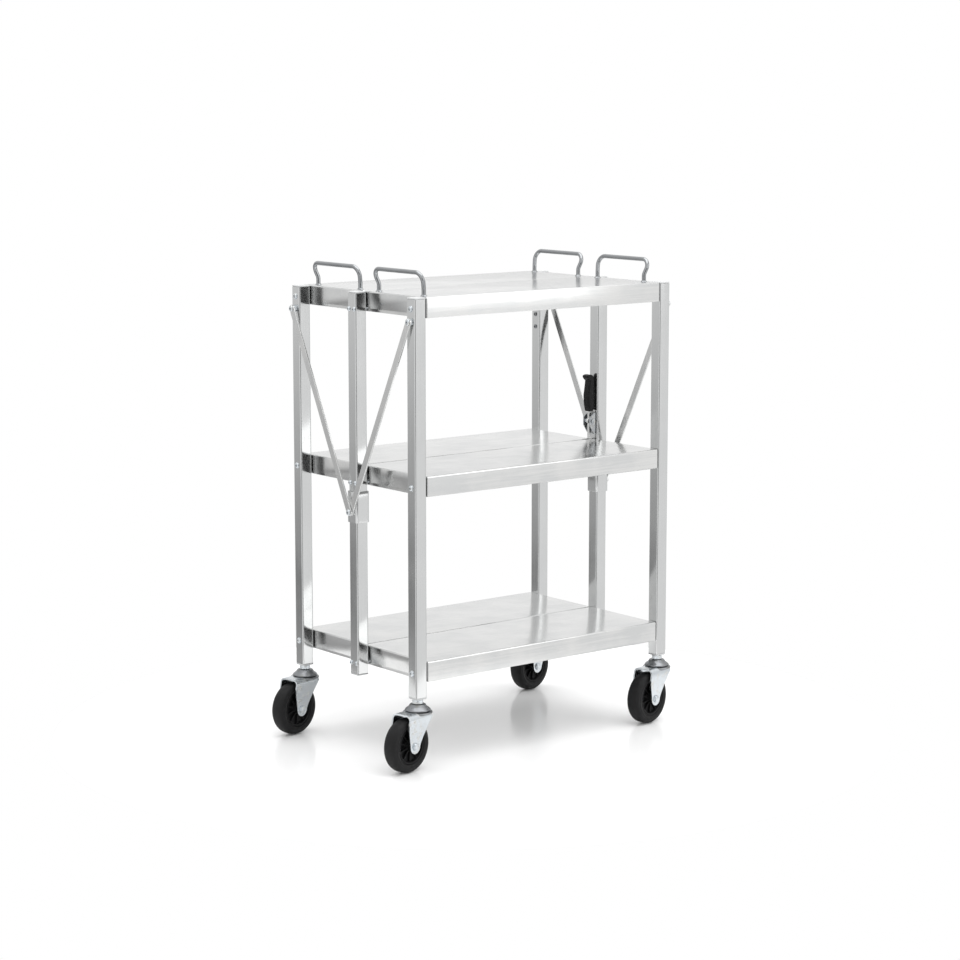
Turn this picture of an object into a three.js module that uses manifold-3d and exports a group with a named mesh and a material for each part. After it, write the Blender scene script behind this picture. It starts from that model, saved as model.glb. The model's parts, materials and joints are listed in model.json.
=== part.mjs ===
// Folding three-shelf trolley in square stainless tube, on four swivel casters.
// Millimetres, +Z up, X along the shelves, Y across them; the origin is on the floor.
// Each shelf is two hinged halves. Lifting the centre posts folds the shelves into a roof shape
// and draws the front and rear frames together, while two collars slide down the centre posts.
import * as THREE from 'three';
import { mergeVertices } from 'three/addons/utils/BufferGeometryUtils.js';
import Module from 'manifold-3d';

const wasm = await Module();
wasm.setup();

// ---- Driving dimensions ----
const LENGTH = 586;            // centre to centre of the posts along X
const WIDTH = 358;             // centre to centre of the front and rear posts along Y
const SHELF_TOPS = { top: 858, middle: 537, bottom: 198 };
const TUBE = { side: 25, wall: 1.5, corner: 3 };
const CORNER_POST_FOOT = 133;  // lower end of the corner posts above the floor
const CENTRE_POST_FOOT = 146;
const SHEET = 1.2;
const FLANGE = 37;             // depth of the shelves' turned-down edges
const GAP = 0.3;               // between pieces that touch on the real trolley
const SEAM = 0.7;              // from the centre plane to each shelf half
const END_PLAY = 1.5;          // between a post and the end of a shelf

const OUTER_PIVOT_DROP = 20;   // outer shelf pivots below the shelf surface
const INNER_PIVOT_RISE = 5;    // inner shelf pivots above the flange's lower edge
const INNER_PIVOT_Y = 8;
const LINK_TOP = 815;          // upper pivots of the V links
const COLLAR_PIVOT = 451;      // where both links of one end meet on the collar
const LINK = { width: 14, thick: 3 };
const COLLAR = { low: 431, high: 489, wall: 2.5, play: 0.4 };

const HANDLE = {
  rod: 4, inset: 29, near: 26, far: 166, below: 4, straight: 14, high: 42, lean: 9, flare: 8, bend: 15,
};
const LEVER = {
  pivotX: 270, pivotZ: 573, pin: 2.5, eye: 6, width: 6, thick: 5, low: 467, top: 643, tooth: 8, grip: 17,
  bracket: { low: 547, high: 590, half: 11, sheet: 2 },
};
const WINDOW = { low: 463, high: 479, half: 5 };   // in the right-hand collar, for the lever's tooth
const CASTER = { trail: 32, turn: 12, wheel: 50, width: 30, crown: 103, top: 121, leg: 3, legGap: 17.5 };
const FOOTPRINT_CENTRE = -28;   // X of the middle of the footprint, casters included

const POST_X = LENGTH / 2;
const POST_Y = WIDTH / 2;
const HALF_TUBE = TUBE.side / 2;
const POST_TOP = SHELF_TOPS.top;
const CAP = 2.5;
const SHELF_END = POST_X - HALF_TUBE - END_PLAY;
const COLLAR_FACE = POST_X + HALF_TUBE + COLLAR.play + COLLAR.wall;
const FRONT_LINK_FACE = COLLAR_FACE + 0.4;
const REAR_LINK_FACE = FRONT_LINK_FACE + LINK.thick + 0.4;
const HANDLE_FOOT = POST_X - HANDLE.inset;
const HANDLE_SHELF = 'top';
const LEVER_SHELF = 'middle';
const LEVER_PIVOT = [LEVER.pivotX, LEVER.pivotZ];

// ---- Materials ----
const metal = (color, roughness) => new THREE.MeshStandardMaterial({ color, roughness, metalness: 1 });
const plain = (color, roughness) => new THREE.MeshStandardMaterial({ color, roughness, metalness: 0 });
const stainless = metal(0xd4d6d6, 0.25);
const brightSteel = metal(0xc9cbcc, 0.2);
const zinc = metal(0xbfc3c6, 0.35);
const springSteel = metal(0x8a8d90, 0.3);
const greyPlastic = plain(0xb9bbbc, 0.5);
const blackPlastic = plain(0x161616, 0.45);
const blackRubber = plain(0x1c1c1d, 0.7);

// ---- Solids: three.js makes the shapes, manifold-3d joins and cuts them ----
function solid(geometry) {
  geometry.deleteAttribute('normal');
  geometry.deleteAttribute('uv');
  const merged = mergeVertices(geometry, 1e-4);
  return new wasm.Manifold(new wasm.Mesh({
    numProp: 3,
    vertProperties: new Float32Array(merged.attributes.position.array),
    triVerts: new Uint32Array(merged.index.array),
  }));
}

function box([x0, x1], [y0, y1], [z0, z1]) {
  const geometry = new THREE.BoxGeometry(x1 - x0, y1 - y0, z1 - z0);
  return solid(geometry.translate((x0 + x1) / 2, (y0 + y1) / 2, (z0 + z1) / 2));
}

// A cylinder along X, Y or Z between two places on that axis; across holds the other two coordinates.
function cylinder(axis, radius, [from, to], across, sides = 8) {
  const geometry = new THREE.CylinderGeometry(radius, radius, to - from, sides);
  const middle = (from + to) / 2;
  const [a, b] = across;
  if (axis === 'x') geometry.rotateZ(Math.PI / 2).translate(middle, a, b);
  if (axis === 'y') geometry.translate(a, middle, b);
  if (axis === 'z') geometry.rotateX(Math.PI / 2).translate(a, b, middle);
  return solid(geometry);
}

// A profile of [radius, height] pairs turned round Z.
function turned(profile, sides) {
  const points = profile.map(([r, z]) => new THREE.Vector2(r, z));
  return solid(new THREE.LatheGeometry(points, sides).rotateX(Math.PI / 2));
}

function roundedSquare(side, radius) {
  const h = side / 2;
  const shape = new THREE.Shape();
  const corners = [[1, 1], [-1, 1], [-1, -1], [1, -1]];
  corners.forEach(([sx, sy], i) => {
    shape.absarc(sx * (h - radius), sy * (h - radius), radius, i * Math.PI / 2, (i + 1) * Math.PI / 2, false);
  });
  shape.closePath();
  return shape;
}

function extruded(shape, depth, curveSegments = 1) {
  return solid(new THREE.ExtrudeGeometry(shape, { depth, bevelEnabled: false, curveSegments }));
}

// A flat bar with round ends between two [y, z] points, lying against the plane x = face.
function bar(from, to, width, [x0, x1]) {
  const r = width / 2;
  const along = Math.atan2(to[1] - from[1], to[0] - from[0]);
  const shape = new THREE.Shape();
  shape.absarc(from[0], from[1], r, along + Math.PI / 2, along + 1.5 * Math.PI, false);
  shape.absarc(to[0], to[1], r, along - Math.PI / 2, along + Math.PI / 2, false);
  shape.closePath();
  const depth = x1 - x0;
  const geometry = new THREE.ExtrudeGeometry(shape, { depth, bevelEnabled: false, curveSegments: 4 });
  geometry.applyMatrix4(new THREE.Matrix4().makeBasis(
    new THREE.Vector3(0, 1, 0), new THREE.Vector3(0, 0, 1), new THREE.Vector3(1, 0, 0)));
  return solid(geometry.translate(x0, 0, 0));
}

const joined = (...pieces) => pieces.reduce((all, piece) => all.add(piece));
const cut = (piece, ...tools) => tools.reduce((left, tool) => left.subtract(tool), piece);

const cart = new THREE.Group();
cart.position.x = -FOOTPRINT_CENTRE;

function add(name, piece, material, parent = cart) {
  const { vertProperties, triVerts } = piece.getMesh();
  const indexed = new THREE.BufferGeometry();
  indexed.setAttribute('position', new THREE.BufferAttribute(new Float32Array(vertProperties), 3));
  indexed.setIndex(new THREE.BufferAttribute(new Uint32Array(triVerts), 1));
  const geometry = indexed.toNonIndexed();
  geometry.computeVertexNormals();
  const mesh = new THREE.Mesh(geometry, material);
  mesh.name = name;
  parent.add(mesh);
}

const ENDS = [['left', -1], ['right', 1]];
const SIDES = [['front', -1], ['rear', 1]];
const SHELVES = Object.entries(SHELF_TOPS);
const outerPivotZ = (top) => top - OUTER_PIVOT_DROP;
const innerPivotZ = (top) => top - FLANGE + INNER_PIVOT_RISE;

// Mirrors a span along X onto the left or right end.
const atEnd = (sx, [a, b]) => (sx > 0 ? [a, b] : [-b, -a]);

// ---- Pivots: button-headed screws ----
const SHANK = { outer: 3, inner: 2.5 };
const HEAD = { radius: 6, thick: 3.5 };
const NUT = { radius: 5.5, thick: 5 };
const OUTBOARD = POST_X + HALF_TUBE;

function head(sx, radius, from, across) {
  return cylinder('x', radius, atEnd(sx, [from, from + HEAD.thick]), across);
}

function shelfPivot(sx, y, z, shank, scale) {
  const inside = SHELF_END - SHEET - GAP;
  return joined(
    cylinder('x', shank, atEnd(sx, [inside - NUT.thick, OUTBOARD + 1]), [y, z]),
    head(sx, HEAD.radius * scale, OUTBOARD - 0.1, [y, z]),
    cylinder('x', NUT.radius * scale, atEnd(sx, [inside - NUT.thick + 1, inside]), [y, z], 6),
  );
}

// ---- Posts: square tube, each one solid with its shelf pivot screws ----
function post(sx, y, foot, pivots, holes = []) {
  const shape = roundedSquare(TUBE.side, TUBE.corner);
  shape.holes.push(roundedSquare(TUBE.side - 2 * TUBE.wall, TUBE.corner - TUBE.wall));
  const tube = extruded(shape, POST_TOP - CAP - GAP - foot).translate([sx * POST_X, y, foot]);
  const bores = holes.map((z) => cylinder('x', SHANK.outer + GAP, atEnd(sx, [POST_X, OUTBOARD + 1]), [y, z]));
  return joined(cut(tube, ...bores), ...pivots);
}

// Closes the end of a tube: plate and plug are spans in Z, of the visible plate and of the plug in the tube.
function endPlug(x, y, plate, plug) {
  const outside = extruded(roundedSquare(TUBE.side, TUBE.corner), plate[1] - plate[0]);
  const inside = extruded(roundedSquare(TUBE.side - 2 * TUBE.wall - 2 * GAP, 1.2), plug[1] - plug[0]);
  return joined(outside.translate([x, y, plate[0]]), inside.translate([x, y, plug[0]]));
}

const postCap = (x, y) => endPlug(x, y, [POST_TOP - CAP, POST_TOP], [POST_TOP - CAP - 10, POST_TOP - 1]);

function linkPivot(sx, side, linkFace) {
  const at = [side * POST_Y, LINK_TOP];
  return joined(
    cylinder('x', SHANK.outer, atEnd(sx, [POST_X + 3, linkFace + LINK.thick + GAP + 1]), at),
    cylinder('x', 6.5, atEnd(sx, [OUTBOARD + GAP, linkFace - GAP]), at),
    head(sx, HEAD.radius, linkFace + LINK.thick + GAP, at),
  );
}

for (const [side, sy] of SIDES) {
  const linkFace = sy < 0 ? FRONT_LINK_FACE : REAR_LINK_FACE;
  const y = sy * POST_Y;
  for (const [end, sx] of ENDS) {
    const pivots = SHELVES.map(([, top]) => shelfPivot(sx, y, outerPivotZ(top), SHANK.outer, 1));
    add(`post_${side}_${end}`, post(sx, y, CORNER_POST_FOOT, pivots, [LINK_TOP]), stainless);
    add(`post_cap_${side}_${end}`, postCap(sx * POST_X, y), greyPlastic);
    add(`link_pivot_${side}_${end}`, linkPivot(sx, sy, linkFace), zinc);
  }
}

for (const [end, sx] of ENDS) {
  const pivots = SHELVES.flatMap(([, top]) => SIDES.map(
    ([, sy]) => shelfPivot(sx, sy * INNER_PIVOT_Y, innerPivotZ(top), SHANK.inner, 0.75)));
  const foot = endPlug(sx * POST_X, 0,
    [CENTRE_POST_FOOT - 3, CENTRE_POST_FOOT], [CENTRE_POST_FOOT - 1, CENTRE_POST_FOOT + 10]);
  add(`post_centre_${end}`, joined(post(sx, 0, CENTRE_POST_FOOT, pivots), foot), stainless);
  add(`post_cap_centre_${end}`, postCap(sx * POST_X, 0), greyPlastic);
}

// ---- Shelf halves: pressed sheet with all four edges turned down ----
function shelfHalf(name, top, sy) {
  const low = top - FLANGE;
  const outerY = POST_Y + HALF_TUBE;
  const span = (a, b) => (sy > 0 ? [a, b] : [-b, -a]);
  let pan = cut(
    box([-SHELF_END, SHELF_END], span(SEAM, outerY), [low, top]),
    box([-SHELF_END + SHEET, SHELF_END - SHEET], span(SEAM + SHEET, outerY - SHEET), [low - 1, top - SHEET]),
    // The inner lower edge is cut back so that the halves turn past each other.
    box([-SHELF_END - 1, SHELF_END + 1], span(SEAM - 1, SEAM + 2.8), [low - 1, low + INNER_PIVOT_RISE]),
  );
  for (const [, sx] of ENDS) {
    const through = atEnd(sx, [SHELF_END - SHEET - 1, SHELF_END + 1]);
    pan = cut(pan,
      cylinder('x', SHANK.outer + GAP, through, [sy * POST_Y, outerPivotZ(top)]),
      cylinder('x', SHANK.inner + GAP, through, [sy * INNER_PIVOT_Y, innerPivotZ(top)]));
  }
  if (name === HANDLE_SHELF) {
    // The handle rods pass through the sheet and are fixed below it.
    const feet = ENDS.flatMap(([, sx]) => [HANDLE.near, HANDLE.far].map((y) => [sx * HANDLE_FOOT, sy * y]));
    const through = [top - SHEET - 1, top + 1];
    pan = cut(pan, ...feet.map((foot) => cylinder('z', HANDLE.rod + 0.5, through, foot, 12)));
  }
  if (name === LEVER_SHELF) {
    // Notch that lets the lever's arm swing at the right-hand end of the seam.
    const start = LEVER.pivotX - 14;
    const split = top - 15;
    pan = cut(pan,
      box([start, SHELF_END + 1], span(SEAM - 1, LEVER.width), [split - 1, top + 1]),
      box([start, SHELF_END - SHEET], span(SEAM - 1, LEVER.width), [low - 1, split]));
  }
  return pan;
}

for (const [name, top] of SHELVES) {
  for (const [side, sy] of SIDES) add(`shelf_${name}_${side}`, shelfHalf(name, top, sy), stainless);
}

// ---- Handles: bent rod, two on each half of the top shelf, each leaning out over the end ----
function roundedPath(points, radius) {
  const path = new THREE.CurvePath();
  let from = points[0];
  for (let i = 1; i < points.length - 1; i += 1) {
    const corner = points[i];
    const toward = (other) => corner.clone().add(
      other.clone().sub(corner).setLength(Math.min(radius, corner.distanceTo(other) / 2.2)));
    const start = toward(points[i - 1]);
    const end = toward(points[i + 1]);
    path.add(new THREE.LineCurve3(from, start));
    path.add(new THREE.QuadraticBezierCurve3(start, corner, end));
    from = end;
  }
  path.add(new THREE.LineCurve3(from, points[points.length - 1]));
  return path;
}

function handle(sx, sy) {
  const foot = sx * HANDLE_FOOT;
  const crest = foot + sx * HANDLE.lean;
  const low = POST_TOP - HANDLE.below;
  const bend = POST_TOP + HANDLE.straight;
  const high = POST_TOP + HANDLE.high;
  const points = [
    [foot, HANDLE.near, low], [foot, HANDLE.near, bend], [crest, HANDLE.near - HANDLE.flare, high],
    [crest, HANDLE.far + HANDLE.flare, high], [foot, HANDLE.far, bend], [foot, HANDLE.far, low],
  ].map(([x, y, z]) => new THREE.Vector3(x, sy * y, z));
  const section = new THREE.Shape().absarc(0, 0, HANDLE.rod, 0, 2 * Math.PI, false);
  return solid(new THREE.ExtrudeGeometry(section, {
    steps: 24, curveSegments: 4, bevelEnabled: false, extrudePath: roundedPath(points, HANDLE.bend),
  }));
}

for (const [side, sy] of SIDES) {
  for (const [end, sx] of ENDS) add(`handle_${side}_${end}`, handle(sx, sy), brightSteel);
}

// ---- V links and the collars they meet on ----
for (const [side, sy] of SIDES) {
  const face = sy < 0 ? FRONT_LINK_FACE : REAR_LINK_FACE;
  for (const [end, sx] of ENDS) {
    const span = atEnd(sx, [face, face + LINK.thick]);
    const drill = atEnd(sx, [face - 1, face + LINK.thick + 1]);
    let link = cut(bar([sy * POST_Y, LINK_TOP], [0, COLLAR_PIVOT], LINK.width, span),
      cylinder('x', SHANK.outer + GAP, drill, [sy * POST_Y, LINK_TOP]));
    if (sy > 0) link = cut(link, cylinder('x', SHANK.outer + GAP, drill, [0, COLLAR_PIVOT]));
    add(`link_${side}_${end}`, link, stainless);
  }
}

for (const [end, sx] of ENDS) {
  const outside = TUBE.side + 2 * (COLLAR.play + COLLAR.wall);
  const shape = roundedSquare(outside, TUBE.corner + COLLAR.wall);
  shape.holes.push(roundedSquare(TUBE.side + 2 * COLLAR.play, TUBE.corner));
  let collar = extruded(shape, COLLAR.high - COLLAR.low).translate([sx * POST_X, 0, COLLAR.low]);
  if (sx > 0) {
    // Catch window for the release lever's tooth.
    const wall = [POST_X - outside / 2 - 1, POST_X - HALF_TUBE + 1];
    collar = cut(collar, box(wall, [-WINDOW.half, WINDOW.half], [WINDOW.low, WINDOW.high]));
  }
  add(`collar_${end}`, collar, stainless);
  const at = [0, COLLAR_PIVOT];
  add(`collar_bolt_${end}`, joined(
    cylinder('x', SHANK.outer, atEnd(sx, [REAR_LINK_FACE, REAR_LINK_FACE + LINK.thick + 1]), at),
    head(sx, HEAD.radius, REAR_LINK_FACE + LINK.thick + GAP, at)), zinc);
}

// ---- Release lever on the inboard face of the right-hand centre post ----
const LEVER_FACE = POST_X - HALF_TUBE - GAP;

function leverBracket() {
  const { low, high, half, sheet } = LEVER.bracket;
  const tip = LEVER.pivotX - LEVER.eye - 1;
  const slope = LEVER_FACE - 8;
  const back = box([LEVER_FACE - sheet, LEVER_FACE], [-half, half], [low, high]);
  const ear = new THREE.Shape([
    [LEVER_FACE - 1, low], [LEVER_FACE - 1, high], [slope, high],
    [tip, LEVER.pivotZ + 7], [tip, LEVER.pivotZ - 7], [slope, low],
  ].map(([x, z]) => new THREE.Vector2(x, z)));
  const ears = [half, sheet - half].map(
    (y) => extruded(ear, sheet).rotate([90, 0, 0]).translate([0, y, 0]));
  return cut(joined(back, ...ears), cylinder('y', LEVER.pin + GAP, [-half - 1, half + 1], LEVER_PIVOT));
}

function leverPin() {
  const end = LEVER.bracket.half + 2;
  const face = LEVER.bracket.half + GAP;
  const clips = [[face, end], [-end, -face]].map((span) => cylinder('y', LEVER.pin + 1.5, span, LEVER_PIVOT));
  return joined(cylinder('y', LEVER.pin, [-end, end], LEVER_PIVOT), ...clips);
}

function leverArm() {
  const half = LEVER.width / 2;
  const x = LEVER.pivotX;
  // The tooth stops short of the collar, so the trolley also folds with the lever at rest.
  const toothTip = COLLAR_FACE - TUBE.side - 2 * (COLLAR.play + COLLAR.wall) - 0.4;
  return cut(joined(
    box([x - LEVER.thick / 2, x + LEVER.thick / 2], [-half, half], [LEVER.low, LEVER.top]),
    cylinder('y', LEVER.eye, [-half, half], LEVER_PIVOT),
    box([x + 2, toothTip], [-half, half], [LEVER.low, LEVER.low + LEVER.tooth]),
  ), cylinder('y', LEVER.pin + GAP, [-half - 1, half + 1], LEVER_PIVOT));
}

// The outline is drawn upwards from the grip's lower end, with a thumb lip that leans inboard at the top.
function leverGrip() {
  const x = LEVER.pivotX;
  const foot = LEVER.bracket.high + 2;
  const shoulder = foot + 65;
  const crown = foot + 73;
  const outline = new THREE.Shape();
  outline.moveTo(x + 4.5, foot + 1);
  outline.lineTo(x + 4.8, shoulder);
  outline.quadraticCurveTo(x + 4.8, crown - 1, x - 1, crown);
  outline.quadraticCurveTo(x - 10, crown + 2, x - 12, crown - 3);
  outline.quadraticCurveTo(x - 11, crown - 8, x - 5, shoulder - 4);
  outline.quadraticCurveTo(x - 6, shoulder - 14, x - 9, foot + 34);
  outline.quadraticCurveTo(x - 9.5, foot + 14, x - 4.4, foot);
  outline.closePath();
  const ease = 2;
  const grip = solid(new THREE.ExtrudeGeometry(outline, {
    depth: LEVER.grip - 2 * ease, curveSegments: 5, bevelEnabled: true, bevelThickness: ease, bevelSize: 1.2,
    bevelOffset: -1.2, bevelSegments: 2,
  }).rotateX(Math.PI / 2).translate(0, LEVER.grip / 2 - ease, 0));
  const slot = LEVER.width / 2 + GAP;
  const side = LEVER.thick / 2 + GAP;
  return cut(grip, box([x - side, x + side], [-slot, slot], [foot - 5, LEVER.top + GAP]));
}

function leverSpring() {
  const turns = 3.5;
  const coilRadius = 4;
  const start = LEVER.width / 2 + 1;
  const length = 4.2;
  const coil = new THREE.Curve();
  coil.getPoint = (t) => {
    const angle = 2 * Math.PI * turns * t;
    const x = LEVER.pivotX + coilRadius * Math.cos(angle);
    return new THREE.Vector3(x, start + length * t, LEVER.pivotZ + coilRadius * Math.sin(angle));
  };
  const wire = new THREE.Shape().absarc(0, 0, 0.5, 0, 2 * Math.PI, false);
  return solid(new THREE.ExtrudeGeometry(wire, {
    steps: 30, curveSegments: 2, bevelEnabled: false, extrudePath: coil,
  }));
}

add('lever_bracket', leverBracket(), zinc);
add('lever_pin', leverPin(), zinc);
add('lever_spring', leverSpring(), springSteel);
add('lever_arm', leverArm(), stainless);
add('lever_grip', leverGrip(), blackPlastic);

// ---- Casters: stem in a socket, swivel fork, wheel ----
const STEM = { radius: 5, collar: 10, plug: 35 };
const AXLE = { radius: 4, hex: 7.5, at: [-CASTER.trail, CASTER.wheel] };

// The stem is one solid with the plug that holds it in the post.
function casterStem(x, y) {
  const top = CORNER_POST_FOOT - GAP;
  return joined(
    endPlug(x, y, [top - 3, top], [top - 1, top + STEM.plug]),
    cylinder('z', STEM.collar, [CASTER.top + GAP, top - 2], [x, y], 12),
    cylinder('z', STEM.radius, [CASTER.crown + 5, top], [x, y]));
}

for (const [side, sy] of SIDES) {
  for (const [end, sx] of ENDS) {
    add(`caster_stem_${side}_${end}`, casterStem(sx * POST_X, sy * POST_Y), zinc);
  }
}

// Caster pieces are drawn about the swivel axis, with the wheel trailing along -X.
function casterFork() {
  const head = turned([
    [0, CASTER.crown], [27, CASTER.crown], [28, CASTER.crown + 2], [27, CASTER.crown + 5],
    [23, CASTER.crown + 9], [17.5, CASTER.top - 5], [15.5, CASTER.top - 2], [14.5, CASTER.top], [0, CASTER.top],
  ], 16);
  const [axleX, axleZ] = AXLE.at;
  const end = 13;
  const lap = 0.35;   // angle by which the round lower end runs on past its level middle line
  const shoulder = CASTER.crown + 2;
  const leg = new THREE.Shape();
  leg.moveTo(16, shoulder);
  leg.lineTo(axleX + end * Math.cos(lap), axleZ + end * Math.sin(lap));
  leg.absarc(axleX, axleZ, end, lap, -Math.PI - lap, true);
  leg.lineTo(axleX - end - 3, shoulder - 8);
  leg.lineTo(axleX - end + 2, shoulder);
  leg.closePath();
  const legs = [-CASTER.legGap, CASTER.legGap + CASTER.leg].map((y) => solid(
    new THREE.ExtrudeGeometry(leg, { depth: CASTER.leg, bevelEnabled: false, curveSegments: 3 })
      .rotateX(Math.PI / 2).translate(0, y, 0)));
  const outside = CASTER.legGap + CASTER.leg + 1;
  return cut(joined(head, ...legs),
    cylinder('z', STEM.radius + 1, [CASTER.crown - 1, CASTER.top + 1], [0, 0], 12),
    cylinder('y', AXLE.radius + GAP, [-outside, outside], AXLE.at));
}

const WHEEL_SIDES = 24;
const TO_CORNER = 1 / Math.cos(Math.PI / WHEEL_SIDES);   // corner radius of the ring over that at a flat

function wheelRing(profile) {
  const points = profile.map(([r, y]) => new THREE.Vector2(r, y));
  points.push(points[0].clone());
  // Turned so that a flat of the many-sided ring lies on the floor.
  const geometry = new THREE.LatheGeometry(points, WHEEL_SIDES).rotateY(Math.PI / WHEEL_SIDES);
  return solid(geometry.translate(-CASTER.trail, 0, CASTER.wheel));
}

function tyre() {
  const r = CASTER.wheel * TO_CORNER;
  const h = CASTER.width / 2;
  return wheelRing([
    [34.4, -h + 1], [44, -h], [r - 2, -h + 4], [r, -h + 9], [r, h - 9], [r - 2, h - 4], [44, h], [34.4, h - 1],
  ]);
}

function wheelCentre() {
  return wheelRing([[4.4, -16.5], [10, -16.5], [28, -7], [33.6, -13], [33.6, 13], [28, 7], [10, 16.5],
    [4.4, 16.5]]);
}

function axleBolt() {
  const out = CASTER.legGap + CASTER.leg + GAP;
  return joined(
    cylinder('y', AXLE.radius, [-out - 1, out + 3], AXLE.at),
    cylinder('y', AXLE.hex, [-out - 5, -out], AXLE.at, 6),
    cylinder('y', AXLE.hex, [out, out + 6], AXLE.at, 6));
}

for (const [side, sy] of SIDES) {
  for (const [end, sx] of ENDS) {
    const caster = new THREE.Group();
    caster.position.set(sx * POST_X, sy * POST_Y, 0);
    caster.rotation.z = THREE.MathUtils.degToRad(CASTER.turn);
    cart.add(caster);
    add(`fork_${side}_${end}`, casterFork(), brightSteel, caster);
    add(`tyre_${side}_${end}`, tyre(), blackRubber, caster);
    add(`wheel_centre_${side}_${end}`, wheelCentre(), blackPlastic, caster);
    add(`axle_${side}_${end}`, axleBolt(), zinc, caster);
  }
}

export default cart;
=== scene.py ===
"""A folding three-shelf trolley in stainless steel, built as finished pieces round its CAD frame."""

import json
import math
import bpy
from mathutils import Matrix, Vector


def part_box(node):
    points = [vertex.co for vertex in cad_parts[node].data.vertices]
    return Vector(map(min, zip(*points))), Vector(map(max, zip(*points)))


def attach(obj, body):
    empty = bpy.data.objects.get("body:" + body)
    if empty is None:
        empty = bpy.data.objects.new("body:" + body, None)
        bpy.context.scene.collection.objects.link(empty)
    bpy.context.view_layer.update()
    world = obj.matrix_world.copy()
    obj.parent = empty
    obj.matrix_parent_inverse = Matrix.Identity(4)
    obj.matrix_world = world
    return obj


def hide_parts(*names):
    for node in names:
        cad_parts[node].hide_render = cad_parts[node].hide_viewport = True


bl_info = {
    "name": "Folding Shelf Trolley",
    "version": (1, 0, 0),
    "blender": (4, 5, 0),
    "location": "3D View > Sidebar > Trolley",
    "description": "Builds the pieces, finishes and studio of a folding stainless steel shelf trolley",
    "category": "Add Mesh",
}

import bmesh
import bpy
from bpy.props import FloatProperty, FloatVectorProperty, IntProperty, PointerProperty
from mathutils import Matrix, Vector

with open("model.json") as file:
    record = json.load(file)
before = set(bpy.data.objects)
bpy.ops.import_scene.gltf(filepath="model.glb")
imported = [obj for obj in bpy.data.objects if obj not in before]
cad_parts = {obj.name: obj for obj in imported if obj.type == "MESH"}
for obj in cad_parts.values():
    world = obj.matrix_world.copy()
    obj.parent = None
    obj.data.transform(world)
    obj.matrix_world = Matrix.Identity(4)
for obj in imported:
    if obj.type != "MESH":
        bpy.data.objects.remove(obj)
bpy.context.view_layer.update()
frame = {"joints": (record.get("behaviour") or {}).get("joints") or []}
JOINTS = {joint["name"]: joint for joint in frame["joints"]}

MM = 0.001
ENDS = (("left", -1), ("right", 1))
SIDES = (("front", -1), ("rear", 1))
LEVELS = ("top", "middle", "bottom")
# Faces that meet at more than this keep a hard edge.
SHARP = math.radians(32)
# These turn what stands on Z to point along +X or +Y.
Z_TO_X = Matrix.Rotation(math.pi / 2, 4, "Y")
Z_TO_Y = Matrix.Rotation(-math.pi / 2, 4, "X")


def in_metres(*points):
    """Points given in millimetres, turned to metres."""
    return [tuple(value * MM for value in point) for point in points]


def middle(node):
    """The middle of a CAD node's box."""
    low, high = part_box(node)
    return (low + high) / 2


def joint_place(name):
    """Where a joint's axis stands."""
    return Vector(JOINTS[name]["pos_m"])


def hex_colour(code):
    """An sRGB hex value as linear red, green and blue."""
    channels = [int(code[i:i + 2], 16) / 255 for i in (1, 3, 5)]
    return tuple(c / 12.92 if c <= 0.04045 else ((c + 0.055) / 1.055) ** 2.4 for c in channels)


CENTRE_X = middle("post_cap_centre_left").x / 2 + middle("post_cap_centre_right").x / 2
TUBE_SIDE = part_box("post_cap_front_left")[1].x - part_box("post_cap_front_left")[0].x
POST_FOOT, POST_TOP = (corner.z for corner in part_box("post_front_left"))
SHELF_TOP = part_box("post_cap_front_left")[1].z


# ---- Sizes and colours a user would change ----

class TrolleySizes(bpy.types.PropertyGroup):
    tube_corner: FloatProperty(name="Tube corner", description="Outside corner radius of the square tube",
                               default=3 * MM, unit="LENGTH")
    tube_wall: FloatProperty(name="Tube wall", description="Wall thickness of the square tube",
                             default=1.5 * MM, unit="LENGTH")
    sheet: FloatProperty(name="Sheet", description="Thickness of the shelf sheet",
                         default=1.2 * MM, unit="LENGTH")
    bend: FloatProperty(name="Shelf bend", description="Outside radius where the shelf turns down",
                        default=2.6 * MM, unit="LENGTH")
    hem: FloatProperty(name="Hem", description="Height of the folded hem on the shelf flanges",
                       default=9 * MM, unit="LENGTH")
    rod: FloatProperty(name="Handle rod", description="Radius of the handle rod",
                       default=4 * MM, unit="LENGTH")
    rod_bend: FloatProperty(name="Handle bend", description="Bend radius of the handle rod",
                            default=15 * MM, unit="LENGTH")
    rod_flare: FloatProperty(name="Handle flare", default=8 * MM, unit="LENGTH",
                             description="How far a handle's grip is wider than its feet at each end")
    spring_turns: FloatProperty(name="Spring turns", description="Turns of the lever's return spring",
                                default=4.5)
    wheel_ribs: IntProperty(name="Wheel ribs", description="Ribs on each face of a wheel centre", default=10)


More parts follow.
